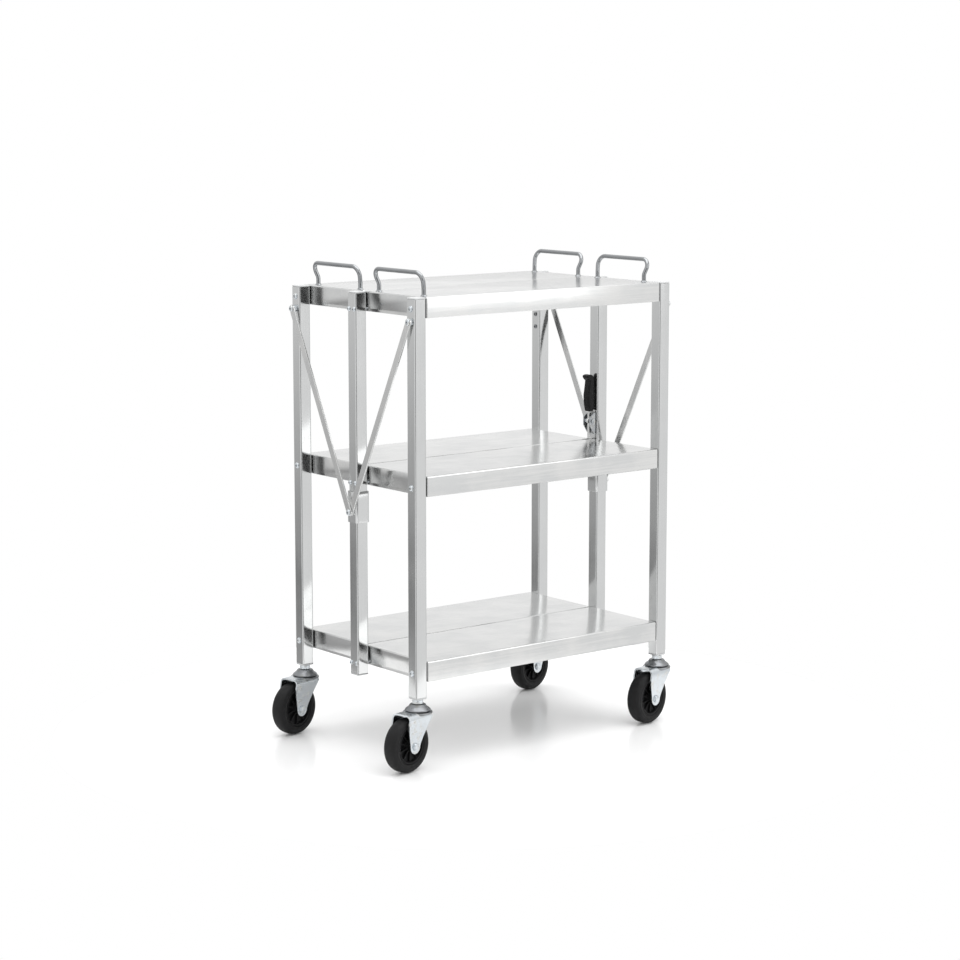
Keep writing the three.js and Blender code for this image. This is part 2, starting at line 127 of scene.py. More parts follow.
class TrolleyColours(bpy.types.PropertyGroup):
    steel: FloatVectorProperty(name="Stainless", description="Polished stainless steel", subtype="COLOR",
                               default=hex_colour("#DCDCDB"))
    steel_dull: FloatVectorProperty(name="Stainless, dull", subtype="COLOR", default=hex_colour("#CFD0D0"),
                                    description="Duller streaks in the stainless steel")
    zinc: FloatVectorProperty(name="Zinc", description="Zinc plating", subtype="COLOR",
                              default=hex_colour("#CDD2D6"))
    zinc_warm: FloatVectorProperty(name="Zinc, warm", description="Warm patches in the zinc plating",
                                   subtype="COLOR", default=hex_colour("#C9C6BE"))
    # Darker than the sheet steel: painted shade for the dark surroundings that the polished rod mirrors.
    rod: FloatVectorProperty(name="Rod", description="Bright drawn handle rod", subtype="COLOR",
                             default=hex_colour("#9FA1A3"))
    rubber: FloatVectorProperty(name="Rubber", description="Black tyre rubber", subtype="COLOR",
                                default=hex_colour("#101011"))
    rubber_dusty: FloatVectorProperty(name="Rubber, dusty", subtype="COLOR", default=hex_colour("#262523"),
                                      description="Rubber with a little floor dust on it")
    grip: FloatVectorProperty(name="Grip", description="Black moulded nylon", subtype="COLOR",
                              default=hex_colour("#121213"))
    cap: FloatVectorProperty(name="Caps", description="Light grey end caps", subtype="COLOR",
                             default=hex_colour("#C9CACA"))
    floor: FloatVectorProperty(name="Floor", description="White studio floor", subtype="COLOR",
                               default=hex_colour("#FAFAFA"))


# ---- Materials ----

def add_node(tree, kind, inputs=(), **settings):
    """Adds one node. inputs holds values or other nodes' outputs, in order or by input name or index."""
    node = tree.nodes.new(kind)
    for key, value in settings.items():
        setattr(node, key, value)
    for key, value in inputs.items() if isinstance(inputs, dict) else enumerate(inputs):
        if isinstance(value, bpy.types.NodeSocket):
            tree.links.new(value, node.inputs[key])
        else:
            node.inputs[key].default_value = value
    return node


def new_material(name):
    """An empty node material with its shader and the piece's own coordinates, in metres."""
    material = bpy.data.materials.new(name)
    material.use_nodes = True
    tree = material.node_tree
    shader = tree.nodes["Principled BSDF"]
    place = add_node(tree, "ShaderNodeTexCoord").outputs["Object"]
    return material, tree, shader, place


def streaks(tree, place, pitch, detail):
    """Noise stretched along the axes; pitch is the real size in mm of one streak along X, Y and Z."""
    scale = [1 / (size * MM) for size in pitch]
    mapped = add_node(tree, "ShaderNodeMapping", {"Vector": place, "Scale": scale}).outputs[0]
    return add_node(tree, "ShaderNodeTexNoise", {
        "Vector": mapped, "Scale": 1.0, "Detail": detail, "Roughness": 0.6}).outputs[0]


def surface(tree, shader, tint, gloss, relief):
    """Wires a shader. tint is a factor from 0 to 1 and the two colours it blends. gloss is a pattern, a low
    and a high value of it, and the roughness at each. relief is a height, its real depth and its strength."""
    factor, first, second = tint
    blend = add_node(tree, "ShaderNodeMix", {0: factor, 6: (*first, 1), 7: (*second, 1)}, data_type="RGBA")
    tree.links.new(blend.outputs[2], shader.inputs["Base Color"])
    roughness = add_node(tree, "ShaderNodeMapRange", gloss)
    tree.links.new(roughness.outputs[0], shader.inputs["Roughness"])
    height, depth, strength = relief
    bump = add_node(tree, "ShaderNodeBump", {"Height": height, "Distance": depth, "Strength": strength})
    tree.links.new(bump.outputs[0], shader.inputs["Normal"])


def polished_stainless(name, grain, roughness, shade=None):
    """Grade 304 stainless steel, buffed along its length. It mirrors its surroundings softly, with long
    faint streaks from the buffing wheel and slightly duller, cloudy patches where it has been wiped."""
    colours = bpy.context.scene.trolley_colours
    material, tree, shader, place = new_material(name)
    # Real buffing lines are about 0.05 mm wide, too fine to show, so they are drawn 0.7 mm wide.
    lines = streaks(tree, place, grain, 4.0)
    clouds = streaks(tree, place, (70, 70, 70), 2.0)
    both = add_node(tree, "ShaderNodeMath", (lines, clouds), operation="ADD").outputs[0]
    dull = add_node(tree, "ShaderNodeMapRange", (both, 0.8, 1.2, 0.0, 1.0)).outputs[0]
    surface(tree, shader, (dull, shade or colours.steel, colours.steel_dull),
            (both, 0.75, 1.25, *roughness), (lines, 0.01 * MM, 0.16))
    shader.inputs["Metallic"].default_value = 1.0
    return material


def bright_rod():
    """Stainless round bar, bright drawn and polished after bending, with faint clouds in the polish. Its grey
    is well below the sheet steel's: painted shade that stands in for the dark surroundings the rod mirrors.
    """
    colours = bpy.context.scene.trolley_colours
    material, tree, shader, place = new_material("bright_drawn_stainless_rod")
    clouds = streaks(tree, place, (6, 25, 6), 3.0)
    surface(tree, shader, (clouds, colours.rod, hex_colour("#8B8D8F")), (clouds, 0.35, 0.65, 0.1, 0.2),
            (clouds, 0.01 * MM, 0.4))
    shader.inputs["Metallic"].default_value = 1.0
    return material


def plated_steel(name, roughness, cool=None, warm=None):
    """Pressed, turned or drawn steel with bright zinc plating: cool, a little milky, with faint warm
    passivation patches and slight orange peel. Other colours make it greyer."""
    colours = bpy.context.scene.trolley_colours
    material, tree, shader, place = new_material(name)
    patches = streaks(tree, place, (9, 9, 9), 3.0)
    # Plating crystals are far under 0.1 mm, so the peel is drawn 1 mm wide to show at all.
    peel = streaks(tree, place, (1, 1, 1), 2.0)
    share = add_node(tree, "ShaderNodeMapRange", (patches, 0.5, 0.75, 0.0, 0.8)).outputs[0]
    surface(tree, shader, (share, cool or colours.zinc, warm or colours.zinc_warm),
            (patches, 0.3, 0.7, *roughness), (peel, 0.02 * MM, 0.35))
    shader.inputs["Metallic"].default_value = 1.0
    return material


def moulded_plastic(name, first, second, roughness, shine):
    """Injection-moulded polymer with a fine spark-eroded texture, so its shine breaks into a soft grain."""
    material, tree, shader, place = new_material(name)
    speckle = streaks(tree, place, (0.35, 0.35, 0.35), 2.0)
    flow = streaks(tree, place, (14, 14, 14), 2.0)
    share = add_node(tree, "ShaderNodeMapRange", (flow, 0.35, 0.7, 0.0, 1.0)).outputs[0]
    surface(tree, shader, (share, first, second), (flow, 0.3, 0.7, *roughness), (speckle, 0.04 * MM, 0.4))
    shader.inputs["IOR"].default_value = 1.5
    shader.inputs["Specular IOR Level"].default_value = shine
    return material


def tyre_rubber():
    """Solid moulded rubber: nearly matt, with a mottled bloom, and a little pale floor dust on the tread."""
    colours = bpy.context.scene.trolley_colours
    material, tree, shader, place = new_material("moulded_black_rubber")
    bloom = streaks(tree, place, (7, 7, 7), 4.0)
    pores = streaks(tree, place, (0.8, 0.8, 0.8), 2.0)
    height = add_node(tree, "ShaderNodeSeparateXYZ", (place,)).outputs[2]
    near_floor = add_node(tree, "ShaderNodeMapRange", (height, 0.0, 9 * MM, 0.7, 0.05)).outputs[0]
    mottled = add_node(tree, "ShaderNodeMapRange", (bloom, 0.4, 0.7, 0.1, 1.0)).outputs[0]
    dust = add_node(tree, "ShaderNodeMath", (near_floor, mottled), operation="MULTIPLY").outputs[0]
    surface(tree, shader, (dust, colours.rubber, colours.rubber_dusty), (bloom, 0.3, 0.7, 0.48, 0.68),
            (pores, 0.05 * MM, 0.5))
    shader.inputs["IOR"].default_value = 1.52
    shader.inputs["Specular IOR Level"].default_value = 0.24
    return material


def studio_floor():
    """Painted studio cove with a satin coat, which carries a weak reflection of what stands on it."""
    colours = bpy.context.scene.trolley_colours
    material, tree, shader, place = new_material("satin_white_studio_floor")
    wear = streaks(tree, place, (350, 350, 350), 3.0)
    roughness = add_node(tree, "ShaderNodeMapRange", (wear, 0.3, 0.7, 0.16, 0.22)).outputs[0]
    tree.links.new(roughness, shader.inputs["Roughness"])
    shader.inputs["Base Color"].default_value = (*colours.floor, 1)
    shader.inputs["IOR"].default_value = 1.45
    shader.inputs["Specular IOR Level"].default_value = 0.3
    return material


FINISHES = {}


def finish(name):
    """The material of that name, made the first time it is asked for."""
    colours = bpy.context.scene.trolley_colours
    makers = {
        "sheet": (polished_stainless, "buffed_stainless_sheet", (160, 0.7, 5), (0.15, 0.21)),
        "tube": (polished_stainless, "buffed_stainless_tube", (0.7, 0.7, 190), (0.1, 0.16),
                 hex_colour("#CBCCCC")),
        "bar": (polished_stainless, "buffed_stainless_bar", (8, 3, 60), (0.2, 0.3)),
        "rod": (bright_rod,),
        "fork": (plated_steel, "bright_zinc_pressing", (0.14, 0.3)),
        "screw": (plated_steel, "zinc_plated_fastener", (0.2, 0.38)),
        # Rougher and greyer than the fork, so it hardly shines.
        "bracket": (plated_steel, "zinc_plated_bracket", (0.38, 0.52), hex_colour("#B4B7BA")),
        # Ball races: darker grey than the plating, with a dull shine.
        "race": (plated_steel, "oiled_grey_steel", (0.26, 0.4), hex_colour("#85878A"),
                 hex_colour("#77766F")),
        "spring": (plated_steel, "drawn_spring_wire", (0.25, 0.4)),
        "grip": (moulded_plastic, "black_moulded_nylon", colours.grip, hex_colour("#151516"),
                 (0.36, 0.5), 0.2),
        "wheel": (moulded_plastic, "black_moulded_polypropylene", hex_colour("#0E0E0F"),
                  hex_colour("#161617"), (0.38, 0.52), 0.16),
        "cap": (moulded_plastic, "grey_moulded_polypropylene", colours.cap, hex_colour("#BDBEBF"),
                (0.34, 0.46), 0.5),
        "rubber": (tyre_rubber,),
        "floor": (studio_floor,),
    }
    if name not in FINISHES:
        maker, *details = makers[name]
        FINISHES[name] = maker(*details)
    return FINISHES[name]


# ---- Mesh making ----

def loft(rings, loop=False):
    """Skins rings of equal length. loop joins the last ring to the first; otherwise both ends are closed."""
    skin = bmesh.new()
    rows = [[skin.verts.new(point) for point in ring] for ring in rings]
    for a, b in list(zip(rows, rows[1:])) + ([(rows[-1], rows[0])] if loop else []):
        for i in range(len(a)):
            j = (i + 1) % len(a)
            skin.faces.new((a[i], a[j], b[j], b[i]))
    if not loop:
        skin.faces.new(reversed(rows[0]))
        skin.faces.new(rows[-1])
    return skin


def arc(centre, radius, start, end, steps):
    """Points of an arc between two angles in radians."""
    angles = [start + (end - start) * i / steps for i in range(steps + 1)]
    return [(centre[0] + radius * math.cos(a), centre[1] + radius * math.sin(a)) for a in angles]


def rounded_rectangle(low, high, radius, steps):
    """Points round a rectangle from low (x, y) to high, with round corners."""
    radius = max(radius, 0.02 * MM)
    corners = [(high[0] - radius, high[1] - radius), (low[0] + radius, high[1] - radius),
               (low[0] + radius, low[1] + radius), (high[0] - radius, low[1] + radius)]
    points = []
    for quarter, corner in enumerate(corners):
        points += arc(corner, radius, math.pi / 2 * quarter, math.pi / 2 * (quarter + 1), steps)
    return points


def square_ring(centre, side, radius, inset, z, steps=6):
    """One ring of a square tube or plug, inset from its outer faces."""
    half = side / 2 - inset
    low = (centre.x - half, centre.y - half)
    high = (centre.x + half, centre.y + half)
    return [(x, y, z) for x, y in rounded_rectangle(low, high, radius - inset, steps)]


def circle(radius, z, sides):
    """Points round a circle about the Z axis."""
    turns = [2 * math.pi * i / sides for i in range(sides)]
    return [(radius * math.cos(turn), radius * math.sin(turn), z) for turn in turns]


def revolve(profile, sides, loop=False):
    """Turns (radius, height) pairs round Z. Ends on the axis are closed by small flat discs."""
    return loft([circle(max(radius, 0.05 * MM), z, sides) for radius, z in profile], loop)


def plate(outline, thick, edge):
    """A flat piece in the XZ plane, thick along Y about y = 0, with its edges eased."""
    area = sum(p[0] * q[1] - q[0] * p[1] for p, q in zip(outline, outline[1:] + outline[:1]))
    if area < 0:
        outline = outline[::-1]

    def drawn_in(i, inset):
        """Corner i of the outline, moved inwards."""
        before, here, after = (Vector(outline[j % len(outline)]) for j in (i - 1, i, i + 1))
        a = (here - before).normalized()
        b = (after - here).normalized()
        normal = Vector((a.y + b.y, -a.x - b.x))
        if normal.length < 1e-6:
            return here
        normal.normalize()
        return here - normal * inset / max(0.5, normal.dot(Vector((a.y, -a.x))))

    half = thick / 2
    rings = []
    for inset, y in ((edge, -half), (0, edge - half), (0, half - edge), (edge, half)):
        corners = [drawn_in(i, inset) for i in range(len(outline))]
        rings.append([(corner.x, y, corner.y) for corner in corners])
    return loft(rings)


def sweep(start, pull, end, steps=6):
    """Points of a curve from start to end that is pulled towards a third point; the start is left out."""
    points = []
    for step in range(1, steps + 1):
        t = step / steps
        points.append(tuple((1 - t) ** 2 * a + 2 * t * (1 - t) * b + t ** 2 * c
                            for a, b, c in zip(start, pull, end)))
    return points


def folded_sheet(path, span, thick, rows):
    """Sheet folded along a path of (y, z) points. span(i, t) is its x at point i, t running from 0 to 1."""
    skin = bmesh.new()
    grid = [[skin.verts.new((span(i, t / rows), y, z)) for t in range(rows + 1)]
            for i, (y, z) in enumerate(path)]
    for a, b in zip(grid, grid[1:]):
        for t in range(rows):
            skin.faces.new((a[t], a[t + 1], b[t + 1], b[t]))
    bmesh.ops.recalc_face_normals(skin, faces=skin.faces)
    bmesh.ops.solidify(skin, geom=skin.faces[:], thickness=thick)
    return skin


# Points in each ring of a screw's head, a multiple of six.
HEAD_SIDES = 48


def hexagon(radius, z, reach=2.0):
    """Points round a hexagon of that across-flats radius, its corners kept within reach times the radius."""
    points = []
    for i in range(HEAD_SIDES):
        angle = 2 * math.pi * i / HEAD_SIDES
        flat = radius / math.cos(angle % (math.pi / 3) - math.pi / 6)
        out = min(flat, radius * reach)
        points.append((out * math.cos(angle), out * math.sin(angle), z))
    return points


def hexagon_head(radius, height, chamfer):
    """Rings of a hexagonal head that stands on z = 0 and is chamfered at its outer end."""
    return [hexagon(radius, 0), hexagon(radius, height - chamfer),
            hexagon(radius, height - chamfer * 0.3, 1.04), hexagon(radius, height, 0.96)]


def mesh_of(name, skin):
    """The mesh of a skin, its faces turned outwards. The skin is used up."""
    bmesh.ops.recalc_face_normals(skin, faces=skin.faces)
    mesh = bpy.data.meshes.new(name)
    skin.to_mesh(mesh)
    skin.free()
    return mesh


def joined(*skins):
    """One bmesh holding several separate closed skins."""
    whole = bmesh.new()
    for skin in skins:
        part = mesh_of("part", skin)
        whole.from_mesh(part)
        bpy.data.meshes.remove(part)
    return whole


def moved(skin, matrix):
    """The same skin, carried by a matrix."""
    bmesh.ops.transform(skin, matrix=matrix, verts=skin.verts)
    return skin


def added(name, data):
    """A new object in the scene, at the origin."""
    made = bpy.data.objects.new(name, data)
    bpy.context.scene.collection.objects.link(made)
    return made


def piece(name, skin, material):
    """Makes the finished object of a skin, smooth up to the sharp angle."""
    mesh = mesh_of(name, skin)
    mesh.shade_smooth()
    mesh.set_sharp_from_angle(angle=SHARP)
    mesh.materials.append(finish(material))
    return added(name, mesh)


def settle(made, body, slot, *nodes):
    """Puts a piece on its body and hides the CAD nodes it stands for; slot is not used."""
    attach(made, body)
    if nodes:
        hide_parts(*nodes)
    return made


def fitted(name, skin, material, body, slot, *nodes):
    """A finished piece, settled on its body."""
    return settle(piece(name, skin, material), body, slot, *nodes)


def flattened(made):
    """Replaces an object's modifiers by the mesh they make. A curve gives way to a mesh object."""
    bpy.context.view_layer.update()
    whole = made.evaluated_get(bpy.context.evaluated_depsgraph_get())
    result = bpy.data.meshes.new_from_object(whole)
    made.modifiers.clear()
    name, old = made.name, made.data
    if made.type == "CURVE":
        bpy.data.objects.remove(made)
        bpy.data.curves.remove(old)
        made = added(name, result)
    else:
        made.data = result
        bpy.data.meshes.remove(old)
    result.name = name
    return made


def carve(made, *cutters):
    """Cuts closed skins out of a piece."""
    for skin in cutters:
        mesh = mesh_of("cutter", skin)
        cutter = added("cutter", mesh)
        modifier = made.modifiers.new("carve", "BOOLEAN")
        modifier.object = cutter
        modifier.operation = "DIFFERENCE"
        modifier.solver = "EXACT"
        flattened(made)
        bpy.data.objects.remove(cutter)
        bpy.data.meshes.remove(mesh)
    made.data.set_sharp_from_angle(angle=SHARP)
    return made


def box_skin(low, high):
    """A box between two corners."""
    return loft([[(low[0], low[1], z), (high[0], low[1], z), (high[0], high[1], z), (low[0], high[1], z)]
                 for z in (low[2], high[2])])


# ---- Geometry Nodes ----

def node_group(name, inputs):
    """An empty Geometry Nodes tree with named inputs, given as (name, socket type, default)."""
    tree = bpy.data.node_groups.new(name, "GeometryNodeTree")
    tree.interface.new_socket("Geometry", in_out="INPUT", socket_type="NodeSocketGeometry")
    for label, kind, default in inputs:
        socket = tree.interface.new_socket(label, in_out="INPUT", socket_type=kind)
        if default is not None:
            socket.default_value = default
    tree.interface.new_socket("Geometry", in_out="OUTPUT", socket_type="NodeSocketGeometry")
    return tree, add_node(tree, "NodeGroupInput").outputs


def end_tree(tree, geometry, material):
    """Ends a tree in smooth shading, real geometry and its material."""
    smooth = add_node(tree, "GeometryNodeSetShadeSmooth", {"Geometry": geometry})
    real = add_node(tree, "GeometryNodeRealizeInstances", {"Geometry": smooth.outputs[0]})
    coated = add_node(tree, "GeometryNodeSetMaterial", {"Geometry": real.outputs[0]})
    coated.inputs["Material"].default_value = finish(material)
    add_node(tree, "NodeGroupOutput", {"Geometry": coated.outputs[0]})
    return tree


def grown(made, tree, **values):
    """Runs a tree on an object with its named inputs set, and keeps the result as a plain mesh."""
    modifier = made.modifiers.new("grow", "NODES")
    modifier.node_group = tree
    for item in tree.interface.items_tree:
        if item.in_out == "INPUT" and item.name in values:
            modifier[item.identifier] = values[item.name]
    made = flattened(made)
    made.data.set_sharp_from_angle(angle=SHARP)
    return made


def scatter_tree(material):
    """Sets a copy of one piece at every point, turned by the point's own turn about Z."""
    tree, given = node_group("scatter_" + material, [("Piece", "NodeSocketObject", None)])
    source = add_node(tree, "GeometryNodeObjectInfo", {"Object": given["Piece"]})
    turn = add_node(tree, "GeometryNodeInputNamedAttribute", {"Name": "turn"}, data_type="FLOAT_VECTOR")
    rotation = add_node(tree, "FunctionNodeEulerToRotation", {0: turn.outputs[0]})
    points = add_node(tree, "GeometryNodeMeshToPoints", {"Mesh": given["Geometry"]})
    copies = add_node(tree, "GeometryNodeInstanceOnPoints", {
        "Points": points.outputs[0], "Instance": source.outputs["Geometry"], "Rotation": rotation.outputs[0]})
    return end_tree(tree, copies.outputs[0], material)


def scattered(name, prototype, places, material):
    """One mesh with a copy of the prototype skin at each (point, turn) place."""
    pattern = piece(name + "_pattern", prototype, material)
    mesh = bpy.data.meshes.new(name)
    mesh.from_pydata([point for point, _ in places], [], [])
    turns = mesh.attributes.new("turn", "FLOAT_VECTOR", "POINT")
    turns.data.foreach_set("vector", [value for _, turn in places for value in turn])
    key = "scatter_" + material
    tree = bpy.data.node_groups.get(key) or scatter_tree(material)
    made = grown(added(name, mesh), tree, Piece=pattern)
    bpy.data.objects.remove(pattern)
    return made


def end_in_wire(tree, curve, radius, sides, material):
    """Ends a tree in round wire of that radius along a curve."""
    section = add_node(tree, "GeometryNodeCurvePrimitiveCircle", {"Resolution": sides, "Radius": radius})
    wire = add_node(tree, "GeometryNodeCurveToMesh", {
        "Curve": curve, "Profile Curve": section.outputs[0], "Fill Caps": True})
    return end_tree(tree, wire.outputs[0], material)


def rod_tree():
    """Bends a corner-to-corner line into a round rod."""
    tree, given = node_group("bent_rod", [
        ("Rod Radius", "NodeSocketFloat", 4 * MM), ("Bend Radius", "NodeSocketFloat", 15 * MM)])
    line = add_node(tree, "GeometryNodeFilletCurve", {
        "Curve": given["Geometry"], "Count": 12, "Radius": given["Bend Radius"], "Limit Radius": True},
        mode="POLY")
    return end_in_wire(tree, line.outputs[0], given["Rod Radius"], 24, "rod")


def spring_tree():
    """A helical spring of round wire, standing on the XY plane."""
    tree, given = node_group("wire_spring", [
        ("Turns", "NodeSocketFloat", 4.5), ("Coil Radius", "NodeSocketFloat", 4 * MM),
        ("Length", "NodeSocketFloat", 4 * MM), ("Wire Radius", "NodeSocketFloat", 0.45 * MM)])
    coil = add_node(tree, "GeometryNodeCurveSpiral", {
        "Resolution": 28, "Rotations": given["Turns"], "Start Radius": given["Coil Radius"],
        "End Radius": given["Coil Radius"], "Height": given["Length"]})
    return end_in_wire(tree, coil.outputs[0], given["Wire Radius"], 10, "spring")


# ---- Posts ----

# How far the plugs inside the tube are inset from its outer faces; they are 21.4 mm square.
PLUG = TUBE_SIDE / 2 - 10.7 * MM


def post_skin(centre, low, high):
    """Square tube, open inside, with its sawn ends eased."""
    sizes = bpy.context.scene.trolley_sizes
    ease, wall = 0.35 * MM, sizes.tube_wall
    rings = [(ease, low), (0, low + ease), (0, high - ease), (ease, high), (wall, high), (wall, low)]
    return loft([square_ring(centre, TUBE_SIDE, sizes.tube_corner, inset, z) for inset, z in rings], True)


def cap_skin(centre, top):
    """Moulded end cap: a plate with a softly crowned top over a plug that sits in the tube."""
    corner = bpy.context.scene.trolley_sizes.tube_corner
    rings = [(PLUG + 0.8 * MM, -12 * MM), (PLUG, -10 * MM), (PLUG, -2.4 * MM)]
    rings += in_metres((0.25, -2.4), (0, -2.1), (0, -1), (0.4, -0.35), (1.2, -0.1), (3, -0.02), (9, 0))
    return loft([square_ring(centre, TUBE_SIDE, corner, inset, top + z) for inset, z in rings])


class TROLLEY_OT_posts(bpy.types.Operator):
    """Six square stainless posts with their end caps and feet"""
    bl_idname = "trolley.posts"
    bl_label = "Posts"

    def execute(self, context):
        for place in ("front", "centre", "rear"):
            body = "spine" if place == "centre" else place + "_frame"
            for end, _ in ENDS:
                node = f"post_{place}_{end}"
                cap = f"post_cap_{place}_{end}"
                centre = middle(cap)
                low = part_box(node)[0].z
                foot = 3 * MM if place == "centre" else 0
                skin = post_skin(centre, low + foot, POST_TOP)
                fitted(node + "_tube", skin, "tube", body, "stainless", node)
                fitted(cap + "_moulding", cap_skin(centre, SHELF_TOP), "cap", body, "cap", cap)
                if place == "centre":
                    flip = Matrix.Translation((0, 0, low)) @ Matrix.Scale(-1, 4, (0, 0, 1))
                    fitted(f"post_foot_{end}", moved(cap_skin(centre, 0), flip), "cap", body, "cap")
        return {"FINISHED"}


# ---- Shelves ----

def pan_skin(node, side):
    """A shelf half: flat sheet with all four edges bent down and hemmed. The lower part of the edge at the
    seam steps back, so that the two halves turn past each other."""
    sizes = bpy.context.scene.trolley_sizes
    low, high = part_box(node)
    sheet, bend, hem = sizes.sheet, sizes.bend, sizes.hem
    folded = 2.1 * sheet
    lip = 0.6 * MM
    relief = 3.3 * MM
    relief_top = low.z + 5 * MM
    ramp_top = relief_top + 1.2 * MM

    def ring(inset, z):
        step = relief * min(1, max(0, (ramp_top - z) / (ramp_top - relief_top)))
        near, far = (inset + (step if side == seam else 0) for seam in (1, -1))
        corner = max(2 * MM - inset, 0.3 * MM)
        return [(x, y, z) for x, y in rounded_rectangle(
            (low.x + inset, low.y + near), (high.x - inset, high.y - far), corner, 5)]

    inside = [(bend, high.z - sheet), (sheet + 0.6 * MM, high.z - sheet - 0.5 * MM), (sheet, high.z - bend),
              (sheet, low.z + hem + 1 * MM), (folded, low.z + hem), (folded, ramp_top), (folded, relief_top),
              (folded, low.z + lip), (folded - 0.5 * MM, low.z)]
    outside = [(0.5 * MM, low.z), (0, low.z + lip), (0, relief_top), (0, ramp_top)]
    outside += arc((bend, high.z - bend), bend, math.pi, math.pi / 2, 8)
    return loft([ring(inset, z) for inset, z in inside + outside])


def lever_notch(node, side):
    """The room for the lever's arm at the right-hand end of the middle shelf's seam."""
    low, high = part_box(node)
    inner = middle("lever_pin").x - 14 * MM
    # The hem is cut further from the seam, because it swings in under the arm as the shelf folds.
    seam, top_reach, hem_reach = (side * reach * MM for reach in (0.2, 6, 7.6))
    top, hem = sorted((seam, top_reach)), sorted((seam, hem_reach))
    flange = 1.6 * MM
    return [
        box_skin((inner, top[0], high.z - 16 * MM), (high.x + 1 * MM, top[1], high.z + 1 * MM)),
        box_skin((inner, hem[0], low.z - 1 * MM), (high.x - flange, hem[1], high.z - 15 * MM)),
    ]


class TROLLEY_OT_shelves(bpy.types.Operator):
    """Six pressed shelf halves, three levels of two"""
    bl_idname = "trolley.shelves"
    bl_label = "Shelves"

    def execute(self, context):
        for level in LEVELS:
            for side, sign in SIDES:
                node = f"shelf_{level}_{side}"
                made = piece(node + "_pan", pan_skin(node, sign), "sheet")
                if level == "middle":
                    made = carve(made, *lever_notch(node, sign))
                settle(made, f"{level}_{side}", "stainless", node)
        return {"FINISHED"}


# ---- Handles ----

class TROLLEY_OT_handles(bpy.types.Operator):
    """Four bent-rod handles that lean out over the ends of the top shelf, each with its two welds"""
    bl_idname = "trolley.handles"
    bl_label = "Handles"

    def execute(self, context):
        sizes = context.scene.trolley_sizes
        rod, flare = sizes.rod, sizes.rod_flare
        tree = rod_tree()
        for side, _ in SIDES:
            feet = []
            for end, out in ENDS:
                node = f"handle_{side}_{end}"
                low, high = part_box(node)
                foot, crest = (low.x + rod, high.x - rod) if out > 0 else (high.x - rod, low.x + rod)
                near, far = low.y + rod, high.y - rod
                bend = SHELF_TOP + 14 * MM
                top = high.z - rod
                corners = [(foot, near + flare, low.z), (foot, near + flare, bend), (crest, near, top),
                           (crest, far, top), (foot, far - flare, bend), (foot, far - flare, low.z)]
                line = bpy.data.curves.new(node, "CURVE")
                line.dimensions = "3D"
                spline = line.splines.new("POLY")
                spline.points.add(len(corners) - 1)
                for point, corner in zip(spline.points, corners):
                    point.co = (*corner, 1)
                made = grown(added(node + "_rod", line), tree,
                             **{"Rod Radius": rod, "Bend Radius": sizes.rod_bend})
                settle(made, "top_" + side, "handle_rod", node)
                feet += [((foot, near + flare, SHELF_TOP), (0, 0, 0)),
                         ((foot, far - flare, SHELF_TOP), (0, 0, 2.1))]
            self.welds(side, rod, feet)
        return {"FINISHED"}

    def welds(self, side, rod, feet):
        """A rippled fillet weld round each handle foot."""
        ripples, ripple = 13, 0.16
        section = in_metres((-0.3, 0.05), (2.6, 0.05), (2.1, 0.55), (1.1, 0.9), (0.5, 1.5), (0.2, 2.4),
                            (-0.3, 2.5))
        skin = revolve([(rod + out, z) for out, z in section], 40, loop=True)
        for vert in skin.verts:
            if vert.co.xy.length > rod:
                vert.co.z *= 1 + ripple * math.sin(ripples * math.atan2(vert.co.y, vert.co.x))
        settle(scattered(f"handle_welds_{side}", skin, feet, "rod"), "top_" + side, "handle_rod")


# ---- V links and collars ----

def link_outline(top, bottom, width):
    """Outline in the YZ plane of a flat bar with round ends."""
    along = math.atan2(bottom[1] - top[1], bottom[0] - top[0])
    half = width / 2
    return (arc(top, half, along + math.pi / 2, along + 1.5 * math.pi, 14)
            + arc(bottom, half, along - math.pi / 2, along + math.pi / 2, 14))


def along_x(skin, x):
    """Turns a piece made in the XZ plane, thick along Y, into the YZ plane at x."""
    return moved(skin, Matrix(((0, 1, 0, x), (1, 0, 0, 0), (0, 0, 1, 0), (0, 0, 0, 1))))


def cross_hole(x, y, z, radius):
    """A cutter for a round hole along X."""
    return moved(revolve([(radius, -6 * MM), (radius, 6 * MM)], 32), Matrix.Translation((x, y, z)) @ Z_TO_X)


